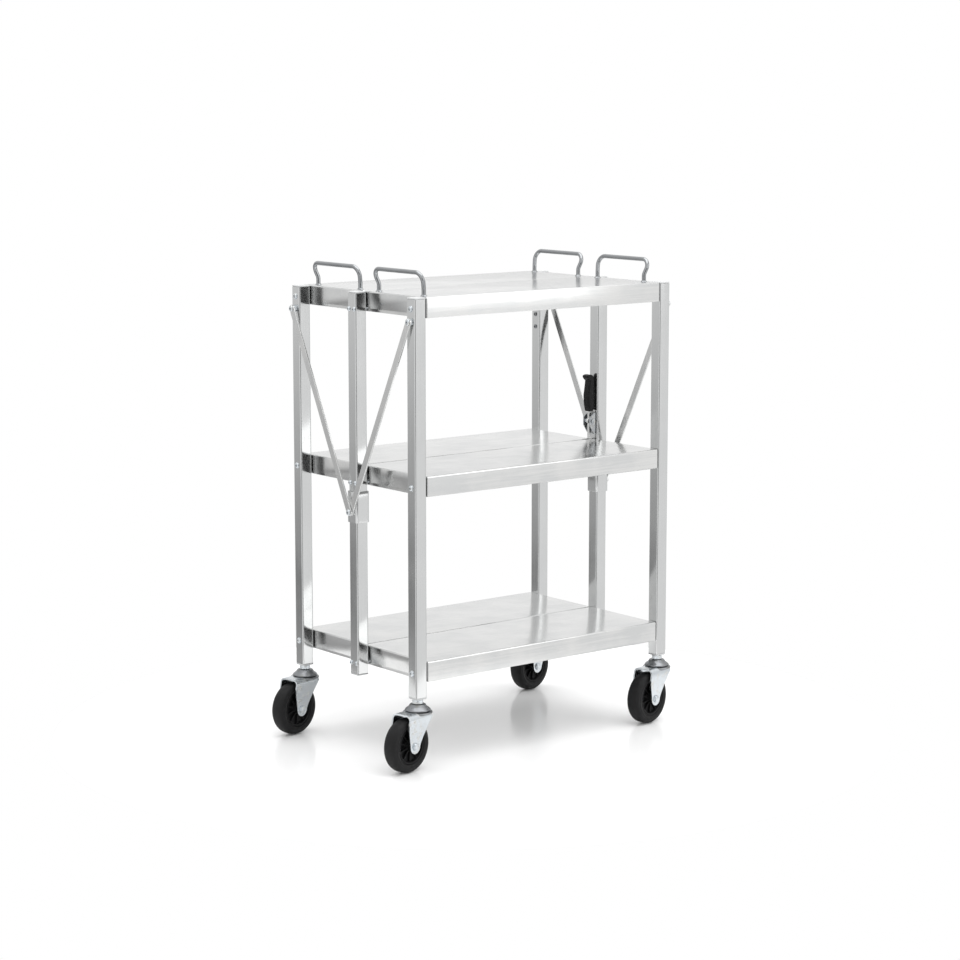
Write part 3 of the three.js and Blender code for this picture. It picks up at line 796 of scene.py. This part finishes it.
class TROLLEY_OT_links(bpy.types.Operator):
    """Four V links and the two collars they drive"""
    bl_idname = "trolley.links"
    bl_label = "Links and collars"

    def execute(self, context):
        for side, _ in SIDES:
            for end, _ in ENDS:
                node = f"link_{side}_{end}"
                low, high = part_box(node)
                top = joint_place(node + "_turn")
                collar = middle(f"collar_bolt_{end}")
                outline = link_outline((top.y, top.z), (0, collar.z), 14 * MM)
                x = (low.x + high.x) / 2
                made = piece(node + "_bar", along_x(plate(outline, high.x - low.x, 0.45 * MM), x), "bar")
                carve(made, cross_hole(x, top.y, top.z, 3.3 * MM))
                settle(made, node, "stainless", node)
        for end, out in ENDS:
            self.collar(end, out)
        return {"FINISHED"}

    def collar(self, end, out):
        """A sleeve round the centre post, folded from sheet, with rolled lips."""
        node = "collar_" + end
        low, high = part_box(node)
        wall, lip = 2.5 * MM, 0.6 * MM
        rings = [(lip, low.z), (0.12 * MM, low.z + 0.25 * MM), (0, low.z + lip), (0, high.z - lip),
                 (0.12 * MM, high.z - 0.25 * MM), (lip, high.z), (wall - 0.4 * MM, high.z),
                 (wall, high.z - 0.5 * MM), (wall, low.z + 0.5 * MM), (wall - 0.4 * MM, low.z)]
        side, corner = high.x - low.x, 5.5 * MM
        skin = loft([square_ring(middle(node), side, corner, inset, z, 8) for inset, z in rings], True)
        made = piece(node + "_sleeve", skin, "tube")
        if out > 0:
            half, window = 5 * MM, high.z - 10 * MM
            carve(made, box_skin((low.x - 1 * MM, -half, window - 16 * MM), (low.x + 4 * MM, half, window)))
        settle(made, node, "stainless", node)


# ---- Pivot screws ----

def button_head(radius, high, socket):
    """A domed head with a hexagon socket, its seat at z = 0."""
    edge, crown = math.radians(10), math.radians(72)
    dome = [(radius * 0.94, 0), (radius, high * 0.12)]
    for step in range(9):
        angle = edge + (crown - edge) * step / 8
        dome.append((radius * math.cos(angle) / math.cos(edge),
                     high * (0.12 + 0.88 * math.sin(angle) / math.sin(crown))))
    rings = [circle(r, z, HEAD_SIDES) for r, z in dome]
    rings += [hexagon(socket * 1.08, high), hexagon(socket, high - 0.15 * MM), hexagon(socket, high * 0.4)]
    return loft(rings)


def lock_nut(radius, z, height):
    """A hexagon nut with a round nylon collar, pointing down from z."""
    rings = hexagon_head(radius, height * 0.72, 0.5 * MM)
    rings += [circle(radius * share, height * rise, HEAD_SIDES)
              for share, rise in ((0.86, 0.74), (0.84, 0.94), (0.74, 1))]
    return moved(loft(rings), Matrix.Translation((0, 0, z)) @ Matrix.Rotation(math.pi, 4, "X"))


def pivot_screw(shank, head, reach, seat):
    """A whole pivot: button head on a washer at z = 0, shank, and a lock nut whose face is at z = -reach."""
    hole, washer_top = shank + 0.2 * MM, 0.6 * MM
    washer = revolve([(hole, -0.05 * MM), (head + 0.2 * MM, -0.05 * MM), (head + 0.35 * MM, 0.25 * MM),
                      (head + 0.1 * MM, washer_top), (hole, washer_top)], 40, loop=True)
    cap = button_head(head * 0.92, seat - 0.65 * MM, shank * 0.62)
    moved(cap, Matrix.Translation((0, 0, 0.62 * MM)))
    tip = -reach - 5.4 * MM
    rod = revolve([(0, tip), (shank - 0.5 * MM, tip), (shank, tip + 0.5 * MM), (shank, 0.8 * MM),
                   (0, 0.8 * MM)], 28)
    return joined(washer, cap, rod, lock_nut(head * 0.88, -reach, 4.6 * MM))


def link_screw(reach, link):
    """A shoulder screw: spacer from the post to the link, shank into the post, and a domed head."""
    hole, outer, chamfer = 3.2 * MM, 6.5 * MM, 0.4 * MM
    low, high = 0.1 * MM, reach - 0.1 * MM
    spacer = revolve([(hole, low), (outer - chamfer, low), (outer, low + chamfer), (outer, high - chamfer),
                      (outer - chamfer, high), (hole, high)], 40, loop=True)
    seat = reach + link
    rod = revolve([(0, -8 * MM), (2.6 * MM, -8 * MM), (3 * MM, -7.5 * MM), (3 * MM, seat + 0.8 * MM),
                   (0, seat + 0.8 * MM)], 28)
    head = moved(button_head(5.9 * MM, 3.2 * MM, 2 * MM), Matrix.Translation((0, 0, seat + 0.25 * MM)))
    return joined(spacer, rod, head)


class TROLLEY_OT_pivots(bpy.types.Operator):
    """Pivot screws of the shelves, links and collars"""
    bl_idname = "trolley.pivots"
    bl_label = "Pivot screws"

    def execute(self, context):
        face = {end: middle(f"post_cap_centre_{end}").x + out * TUBE_SIDE / 2 for end, out in ENDS}
        turned = {"left": (0, 0, math.pi), "right": (0, 0, 0)}
        outer = {side: middle(f"post_cap_{side}_left").y for side, _ in SIDES}
        self.shelf_pivots(face, turned, outer)
        self.catch_screws()
        self.link_pivots(face, turned, outer)
        for end, out in ENDS:
            self.collar_screw(end, out)
        return {"FINISHED"}

    def shelf_pivots(self, face, turned, outer):
        """The screws that the shelf halves turn on, at the corner posts and the centre posts."""
        # The nuts bear on the inner face of the shelves' end flanges.
        reach = face["right"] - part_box("shelf_top_front")[1].x + 1.5 * MM
        heights = [joint_place("fold").z] + [joint_place(level + "_front_turn").z for level in LEVELS[1:]]
        for side, _ in SIDES:
            places = [((face[end], outer[side], z), turned[end]) for end, _ in ENDS for z in heights]
            skin = moved(pivot_screw(3 * MM, 5.6 * MM, reach, 3.4 * MM), Z_TO_X)
            settle(scattered(f"shelf_pivots_{side}", skin, places, "screw"), side + "_frame", "zinc")
        heights = [joint_place("spine_upright").z]
        heights += [joint_place(level + "_rear_turn").z for level in LEVELS[1:]]
        inner = joint_place("top_rear_turn").y
        places = [((face[end], y, z), turned[end])
                  for end, _ in ENDS for z in heights for y in (-inner, inner)]
        skin = moved(pivot_screw(2.5 * MM, 4.2 * MM, reach, 3 * MM), Z_TO_X)
        settle(scattered("shelf_pivots_centre", skin, places, "screw"), "spine", "zinc")

    def link_pivots(self, face, turned, outer):
        """The shoulder screws at the upper ends of the links."""
        gap = 0.3 * MM
        for side, _ in SIDES:
            low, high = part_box(f"link_{side}_right")
            skin = moved(link_screw(low.x - face["right"] - gap, high.x - low.x + gap), Z_TO_X)
            places = [((face[end], outer[side], joint_place(f"link_{side}_{end}_turn").z), turned[end])
                      for end, _ in ENDS]
            made = scattered(f"link_pivots_{side}", skin, places, "screw")
            settle(made, side + "_frame", "zinc", *[f"link_pivot_{side}_{end}" for end, _ in ENDS])

    def catch_screws(self):
        """Two small screws on the inner face of the rear right-hand post."""
        post = middle("post_cap_rear_right")
        drops = (87 * MM, 112 * MM)
        skin = moved(button_head(4.4 * MM, 2.4 * MM, 1.5 * MM), Z_TO_X.inverted())
        places = [((post.x - TUBE_SIDE / 2, post.y, SHELF_TOP - drop), (0, 0, 0)) for drop in drops]
        settle(scattered("catch_screws", skin, places, "race"), "rear_frame", "zinc")

    def collar_screw(self, end, out):
        """The screw that the lower ends of two links share."""
        node = f"collar_bolt_{end}"
        low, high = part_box(node)
        seat = (high.x if out > 0 else low.x) - out * 3.5 * MM
        shank = revolve(in_metres((0, -3.2), (3, -3.2), (3, 0.4), (0, 0.4)), 28)
        skin = joined(button_head(5.9 * MM, 3.3 * MM, 2 * MM), shank)
        facing = Matrix.Rotation(0 if out > 0 else math.pi, 4, "Z")
        turn = Matrix.Translation((seat, 0, middle(node).z)) @ facing @ Z_TO_X
        fitted(node + "_screw", moved(skin, turn), "screw", f"link_rear_{end}", "zinc", node)


# ---- Release lever ----

class TROLLEY_OT_lever(bpy.types.Operator):
    """Release lever on the right-hand centre post: bracket, pin, spring, steel arm and black grip"""
    bl_idname = "trolley.lever"
    bl_label = "Release lever"

    def execute(self, context):
        pivot = middle("lever_pin")
        pivot.y = 0
        self.bracket(pivot)
        self.pin(pivot)
        self.spring(context, pivot)
        self.arm(pivot)
        self.grip(pivot)
        return {"FINISHED"}

    def bracket(self, pivot):
        """Pressed clevis: a back plate against the post and two ears folded from it."""
        low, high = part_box("lever_bracket")
        thick, bend = 2 * MM, 2.5 * MM
        half = high.y - thick / 2
        back = high.x - thick / 2
        fold = back - bend
        path = [(low.x, -half), (fold - 4 * MM, -half)]
        path += arc((fold, -half + bend), bend, -math.pi / 2, 0, 6)
        path += arc((fold, half - bend), bend, 0, math.pi / 2, 6)
        path += [(fold - 4 * MM, half), (low.x, half)]
        full = (high.z - low.z) / 2
        ear = 8 * MM
        centre = (high.z + low.z) / 2

        def height(i, t):
            """The ears narrow from the back plate's full height towards the pin."""
            share = min(1, max(0, (fold - path[i][0]) / (fold - low.x))) ** 1.5
            return centre + share * (pivot.z - centre) + (2 * t - 1) * (full - share * (full - ear))

        skin = folded_sheet([(y, x) for x, y in path], height, thick, 6)
        swap_xz = Matrix(((0, 0, 1, 0), (0, 1, 0, 0), (1, 0, 0, 0), (0, 0, 0, 1)))
        fitted("lever_bracket_pressing", moved(skin, swap_xz), "bracket", "spine", "zinc", "lever_bracket")

    def pin(self, pivot):
        """Pin with a domed head and a retaining ring."""
        low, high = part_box("lever_pin")
        half = (high.y - low.y) / 2
        tail = [(r, z - half) for r, z in in_metres((0, 0), (2.2, 0), (2.5, 0.4))]
        head = [(r, half - z) for r, z in in_metres((2.5, 1.6), (3.9, 1.6), (4, 1.2), (3.2, 0.3), (0, 0))]
        ring = [(r, z - half) for r, z in in_metres((2.4, 0.9), (4, 0.9), (4, 1.6), (2.4, 1.6))]
        skin = joined(revolve(tail + head, 32), revolve(ring, 32, loop=True))
        turn = Matrix.Translation(pivot) @ Z_TO_Y
        fitted("lever_pin_turned", moved(skin, turn), "screw", "spine", "zinc", "lever_pin")

    def spring(self, context, pivot):
        """Torsion spring on the pin, beside the arm."""
        low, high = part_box("lever_spring")
        name, inset = "lever_spring_wire", 0.5 * MM
        made = grown(added(name, bpy.data.meshes.new(name)), spring_tree(), **{
            "Turns": context.scene.trolley_sizes.spring_turns, "Coil Radius": (high.x - low.x) / 2 - inset,
            "Length": high.y - low.y - 2 * inset, "Wire Radius": 0.45 * MM})
        made.data.transform(Matrix.Translation((pivot.x, high.y - inset, pivot.z)) @ Z_TO_Y.inverted())
        settle(made, "spine", "spring", "lever_spring")

    def arm(self, pivot):
        """Flat steel arm with an eye for the pin and a tooth at its lower end."""
        low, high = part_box("lever_arm")
        half, eye, corner = 2.5 * MM, 6 * MM, 1.5 * MM
        left, right = pivot.x - half, pivot.x + half
        tooth = low.z + 8 * MM
        swing = math.asin(half / eye)
        hub = (pivot.x, pivot.z)
        outline = [(left, high.z)]
        outline += arc(hub, eye, math.pi / 2 + swing, 1.5 * math.pi - swing, 12)
        outline += [(left, low.z + corner)]
        outline += arc((left + corner, low.z + corner), corner, math.pi, 1.5 * math.pi, 4)
        outline += [(high.x - 1 * MM, low.z), (high.x, low.z + 1 * MM), (high.x, tooth - 3 * MM),
                    (high.x - 2 * MM, tooth), (right, tooth)]
        outline += arc(hub, eye, -math.pi / 2 + swing, math.pi / 2 - swing, 12)
        outline += [(right, high.z)]
        skin = plate(outline, high.y - low.y, 0.4 * MM)
        fitted("lever_arm_strip", skin, "bar", "release_lever", "stainless", "lever_arm")

    def grip(self, pivot):
        """Moulded grip with a thumb lip at the top and ribs down its inboard face."""
        low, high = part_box("lever_grip")
        x, foot = pivot.x, low.z
        shoulder, crown = foot + 65 * MM, foot + 73 * MM
        outline = [(x + 4.4 * MM, foot + 1 * MM), (x + 4.7 * MM, shoulder)]
        outline += sweep(outline[-1], (x + 4.7 * MM, crown - 1 * MM), (x - 1 * MM, crown))
        outline += sweep(outline[-1], (x - 10 * MM, crown + 1 * MM), (x - 12 * MM, crown - 3 * MM))
        outline += sweep(outline[-1], (x - 11 * MM, crown - 8 * MM), (x - 5 * MM, shoulder - 4 * MM))
        belly = sweep(outline[-1], (x - 6 * MM, shoulder - 14 * MM), (x - 9 * MM, foot + 34 * MM), 8)
        belly += sweep(belly[-1], (x - 9.5 * MM, foot + 14 * MM), (x - 4.4 * MM, foot), 8)
        wide = high.y - low.y
        made = piece("lever_grip_moulding", plate(outline + belly, wide, 1.2 * MM), "grip")
        modifier = made.modifiers.new("round", "BEVEL")
        modifier.width = 1.1 * MM
        modifier.segments = 3
        modifier.limit_method = "ANGLE"
        made = flattened(made)
        made.data.shade_smooth()
        settle(made, "release_lever", "grip", "lever_grip")
        # The ribs stand on the points of the belly, clear of its two ends, and are sunk in by a little.
        sunk = 0.25 * MM
        rib = plate(arc((0, 0), 0.9 * MM, 0, 2 * math.pi * 15 / 16, 15), wide - 6 * MM, 0.5 * MM)
        places = [((a + sunk, 0, b), (0, 0, 0)) for a, b in belly[3:14]]
        settle(scattered("lever_grip_ribs", rib, places, "grip"), "release_lever", "grip")


# ---- Casters ----

# How far the axle trails behind the swivel, its height, and the underside of the fork's crown plate.
TRAIL = 32 * MM
AXLE = 50 * MM
CROWN = 103 * MM
HEAD_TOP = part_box("fork_front_left")[1].z


def caster_turn(side, end):
    """From a caster's own frame, wheel trailing along -X, to its corner and swivel angle."""
    swivel = joint_place(f"swivel_{side}_{end}")
    axis = Vector(JOINTS[f"roll_{side}_{end}"]["axis"])
    turn = math.atan2(-axis.x, axis.y)
    return Matrix.Translation((swivel.x, swivel.y, 0)) @ Matrix.Rotation(turn, 4, "Z")


def wheel_turn():
    """From a turned profile standing on Z to the wheel's place in the caster's own frame."""
    return Matrix.Translation((-TRAIL, 0, AXLE)) @ Z_TO_Y


def fork_skin():
    """Pressed fork: a crown plate folded down into two legs that narrow to round ends at the axle."""
    thick = 3 * MM
    crown = CROWN + thick
    leg = 19 * MM
    bend = 7 * MM
    end = 13 * MM
    shoulder = crown - bend
    flat = leg - bend
    drop = [AXLE - end * math.sin(math.radians(a)) for a in (88, 78, 65, 50, 35, 18)]
    rise = [AXLE + (shoulder - AXLE) * i / 8 for i in range(9)]
    path = [(-leg, z) for z in drop + rise]
    path += arc((-flat, shoulder), bend, math.pi, math.pi / 2, 8)[1:]
    path += [(y * flat, crown) for y in (-0.85, -0.6, -0.3, 0, 0.3, 0.6, 0.85)]
    path += arc((flat, shoulder), bend, math.pi / 2, 0, 8)[:-1]
    path += [(leg, z) for z in reversed(drop + rise)]

    def span(i, t):
        """From the back edge to the front edge of the fork, round below the axle."""
        y, z = path[i]
        if z < AXLE:
            half = math.sqrt(max(end ** 2 - (AXLE - z) ** 2, (0.3 * MM) ** 2))
            return -TRAIL - half + 2 * half * t
        share = min(1, (z - AXLE) / (shoulder - AXLE))
        nose = math.sqrt(max(0, 1 - (y / flat) ** 2)) if abs(y) < flat else 0
        back = -TRAIL - end - 3 * MM * math.sin(math.pi * share ** 1.5)
        front = -TRAIL + end + share ** 1.2 * (TRAIL - end + 16 * MM) + 10 * MM * nose
        return back * (1 - t) + front * t

    return folded_sheet(path, span, -thick, 12)


def swivel_head():
    """Upper and lower ball races crimped over the crown plate, a dark gap between them."""
    base, top = CROWN / MM, HEAD_TOP / MM
    lower = in_metres((24, base + 0.3), (26.5, base + 1.4), (27.2, base + 2.8), (26.4, base + 4.4),
                      (23.8, base + 5.4), (21, base + 5.6), (21, base + 0.3))
    upper = in_metres((7, base + 6.2), (22.6, base + 6.2), (23.8, base + 7), (23.4, base + 8.6),
                      (21.2, top - 7.4), (18.2, top - 5.4), (16.2, top - 3.4), (15.2, top - 1.4),
                      (14.2, top - 0.4), (12.6, top), (7, top))
    return joined(revolve(lower, 64, loop=True), revolve(upper, 64, loop=True))


def wheel_ring(side, crown=()):
    """Turns one side of a wheel's section, in millimetres, and its mirror image round the axle."""
    profile = [(r, -w) for r, w in side] + list(crown) + [(r, w) for r, w in reversed(side)]
    return revolve(in_metres(*profile), 96, loop=True)


def tyre_skin():
    """Solid tyre: slightly crowned tread, round shoulders, and a raised ring on each side wall."""
    side = [(34.2, 12.6), (35.2, 13.9), (38.5, 14.5), (39.2, 15), (40.4, 15), (41, 14.5), (44, 14.2),
            (46.4, 13), (48.2, 10.8), (49.3, 8), (49.85, 4.5)]
    return wheel_ring(side, [(50, 0)])


def centre_skin():
    """Wheel centre: hub, thin web and rim, moulded in one."""
    return wheel_ring([(4.4, 16.4), (8.6, 16.4), (9.6, 15.6), (10.4, 8), (12, 5.4), (26.6, 5), (28.6, 6),
                       (29.6, 11.6), (30.4, 12.7), (33.2, 12.7), (33.9, 12)])


def rib_skin():
    """One radial stiffening rib of the wheel centre, thick along Y, lying along X."""
    outline = in_metres((10, 0), (10, 11.6), (12.2, 10.2), (27, 8.6), (29.4, 10.6), (29.4, 0))
    return plate(outline, 2.2 * MM, 0.5 * MM)


def axle_skin():
    """Hexagon bolt, lock nut and washers through the fork."""
    leg_face = 20.6 * MM
    seat = leg_face + 1.1 * MM
    tip, top = -leg_face - 4.8 * MM, leg_face + 1 * MM
    shank = revolve([(0, tip), (4 * MM, tip), (4 * MM, top), (0, top)], 32)
    washers = [revolve([(4.2 * MM, z), (8.2 * MM, z), (8.2 * MM, z + 1 * MM), (4.2 * MM, z + 1 * MM)], 36,
                       loop=True) for z in (leg_face + 0.1 * MM, -seat)]
    head = moved(loft(hexagon_head(6.5 * MM, 4.4 * MM, 0.8 * MM)), Matrix.Translation((0, 0, seat)))
    return joined(shank, head, lock_nut(6.5 * MM, -seat, 4.3 * MM), *washers)


def stem_skin():
    """Threaded stem with its round collar, from the swivel head up into the post."""
    foot, tip = CROWN + 8 * MM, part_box("caster_stem_front_left")[1].z
    low, high = HEAD_TOP + 0.6 * MM, POST_FOOT - 3.6 * MM
    return revolve([(0, foot), (5 * MM, foot), (5 * MM, low), (9.2 * MM, low), (10 * MM, low + 0.6 * MM),
                    (10 * MM, high - 0.6 * MM), (9.4 * MM, high), (5 * MM, high), (5 * MM, tip - 1 * MM),
                    (4 * MM, tip), (0, tip)], 40)


def socket_skin(side, end):
    """Moulded plug that holds the stem in the post, with a flange below the tube."""
    centre = middle(f"post_cap_{side}_{end}")
    corner = bpy.context.scene.trolley_sizes.tube_corner
    low, high = POST_FOOT - 3.3 * MM, POST_FOOT - 0.3 * MM
    rings = [(1.6 * MM, low), (0.3 * MM, low + 0.3 * MM), (0, low + 0.8 * MM), (0, high - 0.4 * MM),
             (0.3 * MM, high), (PLUG, high), (PLUG, high + 32 * MM), (PLUG + 1 * MM, high + 34 * MM)]
    return loft([square_ring(centre, TUBE_SIDE, corner, inset, z) for inset, z in rings])


class TROLLEY_OT_casters(bpy.types.Operator):
    """Four swivel casters: stem, fork with ball races, axle, tyre and ribbed wheel centre"""
    bl_idname = "trolley.casters"
    bl_label = "Casters"

    def execute(self, context):
        ribs = context.scene.trolley_sizes.wheel_ribs
        for side, _ in SIDES:
            for end, _ in ENDS:
                self.caster(side, end, ribs)
        return {"FINISHED"}

    def caster(self, side, end, ribs):
        """All the pieces of the caster at one corner."""
        here = f"{side}_{end}"
        turn = caster_turn(side, end)
        wheel = turn @ wheel_turn()
        swivel = Matrix.Translation(turn.translation)
        frame_body, caster, roller = side + "_frame", "caster_" + here, "wheel_" + here
        fitted(f"stem_{here}_turned", moved(stem_skin(), swivel), "screw", frame_body, "zinc",
               "caster_stem_" + here)
        fitted(f"stem_{here}_plug", socket_skin(side, end), "cap", frame_body, "cap")
        fitted(f"fork_{here}_pressing", moved(fork_skin(), turn), "fork", caster, "caster_steel",
               "fork_" + here)
        fitted(f"fork_{here}_races", moved(swivel_head(), turn), "race", caster, "zinc")
        fitted(f"axle_{here}_bolt", moved(axle_skin(), wheel), "screw", caster, "zinc", "axle_" + here)
        fitted(f"tyre_{here}_moulding", moved(tyre_skin(), wheel), "rubber", roller, "tyre", "tyre_" + here)
        fitted(f"wheel_centre_{here}_moulding", moved(centre_skin(), wheel), "wheel", roller,
               "wheel_centre", "wheel_centre_" + here)
        # The ribs of the second face stand between those of the first.
        places = [((0, 0, 0), (face, 0, 2 * math.pi * (i + offset) / ribs))
                  for face, offset in ((0, 0), (math.pi, 0.5)) for i in range(ribs)]
        made = scattered(f"wheel_ribs_{here}", rib_skin(), places, "wheel")
        made.data.transform(wheel)
        settle(made, roller, "wheel_centre")


# ---- Studio ----

def area_light(name, side, power, place, aim):
    """A square softbox that many watts strong, pointing at aim."""
    light = bpy.data.lights.new(name, "AREA")
    light.shape = "SQUARE"
    light.size = side
    light.energy = power
    lamp = added(name, light)
    lamp.location = place
    lamp.rotation_euler = (Vector(aim) - Vector(place)).to_track_quat("-Z", "Y").to_euler()


def studio_air():
    """A bright white room, with greyer walls to the sides and an unlit doorway behind the camera."""
    world = bpy.data.worlds.new("studio_air")
    bpy.context.scene.world = world
    world.use_nodes = True
    tree = world.node_tree
    way = add_node(tree, "ShaderNodeTexCoord").outputs["Generated"]

    def patch(level, direction, near, far, inside):
        """Blends level into inside towards a direction; near and far are degrees from it."""
        toward = Vector(direction).normalized()
        dot = add_node(tree, "ShaderNodeVectorMath", (way, toward), operation="DOT_PRODUCT").outputs["Value"]
        edges = [math.cos(math.radians(angle)) for angle in (far, near)]
        mask = add_node(tree, "ShaderNodeMapRange", (dot, *edges, 0.0, 1.0), interpolation_type="SMOOTHSTEP")
        return add_node(tree, "ShaderNodeMix", {0: mask.outputs[0], 2: level, 3: inside}).outputs[0]

    room = 1.12
    level = patch(room, (1, 0, 0), 15, 35, 0.72)
    level = patch(level, (0, -1, 0.1), 8, 24, 0.8)
    # The camera looks along (0.62, 0.78). This is the wall it faces.
    level = patch(level, (0.62, 0.78, 0.13), 12, 40, 0.98)
    # The end faces of the posts mirror what lies back left: a grey flag, darker low down, with a dark band.
    rise = add_node(tree, "ShaderNodeSeparateXYZ", (way,)).outputs[2]
    below = add_node(tree, "ShaderNodeMath", (rise, 0.195), operation="ADD").outputs[0]
    away = add_node(tree, "ShaderNodeMath", (below,), operation="ABSOLUTE").outputs[0]
    band = add_node(tree, "ShaderNodeMapRange", (away, 0.01, 0.03, 0.5, 1.0)).outputs[0]
    shade = add_node(tree, "ShaderNodeMapRange", (rise, -0.15, -0.085, 0.52, 0.86)).outputs[0]
    flag = add_node(tree, "ShaderNodeMath", (band, shade), operation="MULTIPLY").outputs[0]
    level = patch(level, (-0.62, 0.78, -0.1), 18, 50, flag)
    # The front faces mirror what lies front right.
    level = patch(level, (0.62, -0.78, -0.1), 10, 38, 1.0)
    # The doorway shows in the end bands beside the posts, after two reflections.
    level = patch(level, (-0.62, -0.78, -0.1), 11, 18, 0.015)
    seen = add_node(tree, "ShaderNodeLightPath").outputs["Is Camera Ray"]
    strength = add_node(tree, "ShaderNodeMix", {0: seen, 2: level, 3: 1.0}).outputs[0]
    back = tree.nodes["Background"]
    back.inputs["Color"].default_value = (1, 1, 1, 1)
    tree.links.new(strength, back.inputs["Strength"])


class TROLLEY_OT_stage(bpy.types.Operator):
    """White studio floor, soft lights and the camera"""
    bl_idname = "trolley.stage"
    bl_label = "Stage"

    def execute(self, context):
        scene = context.scene
        floor_radius, floor_sides = 0.8, 120
        mesh = bpy.data.meshes.new("studio_floor")
        mesh.from_pydata(circle(floor_radius, 0, floor_sides), [], [tuple(range(floor_sides))])
        mesh.materials.append(finish("floor"))
        added("studio_floor", mesh)
        studio_air()
        area_light("overhead_softbox", 3.2, 60, (0.2, -0.2, 3.2), (0, 0, 0))
        area_light("front_softbox", 2.4, 22, (1.6, -3.2, 1.8), (0, 0, 0.5))
        self.camera(scene)
        # Plain display colours, so that the white studio stays white.
        scene.view_settings.view_transform = "Standard"
        return {"FINISHED"}

    def camera(self, scene):
        """A long lens at chest height, turned down to the trolley's front left-hand corner."""
        azimuth = math.radians(38.58)
        tilt = math.radians(8.857)
        lens = bpy.data.cameras.new("camera")
        lens.lens = 96.65
        lens.sensor_width = 36.0
        view = added("camera", lens)
        view.location = (CENTRE_X - 3.0457, -3.8108, SHELF_TOP + 0.383)
        view.rotation_euler = (math.pi / 2 - tilt, 0, -azimuth)
        scene.camera = view


# ---- Add-on ----

class TROLLEY_PT_panel(bpy.types.Panel):
    """The trolley's sizes, colours and pieces"""
    bl_idname = "TROLLEY_PT_panel"
    bl_label = "Folding Shelf Trolley"
    bl_space_type = "VIEW_3D"
    bl_region_type = "UI"
    bl_category = "Trolley"

    def draw(self, context):
        for group in (context.scene.trolley_sizes, context.scene.trolley_colours):
            for name in group.__annotations__:
                self.layout.prop(group, name)
        for step in STEPS:
            self.layout.operator(step.bl_idname)


STEPS = (TROLLEY_OT_stage, TROLLEY_OT_posts, TROLLEY_OT_shelves, TROLLEY_OT_handles, TROLLEY_OT_links,
         TROLLEY_OT_pivots, TROLLEY_OT_lever, TROLLEY_OT_casters)
CLASSES = (TrolleySizes, TrolleyColours, *STEPS, TROLLEY_PT_panel)


def register():
    for item in CLASSES:
        bpy.utils.register_class(item)
    bpy.types.Scene.trolley_sizes = PointerProperty(type=TrolleySizes)
    bpy.types.Scene.trolley_colours = PointerProperty(type=TrolleyColours)


def unregister():
    del bpy.types.Scene.trolley_sizes
    del bpy.types.Scene.trolley_colours
    for item in reversed(CLASSES):
        bpy.utils.unregister_class(item)


def main():
    register()
    for step in STEPS:
        group, name = step.bl_idname.split(".")
        getattr(getattr(bpy.ops, group), name)()


if __name__ == "__main__":
    main()
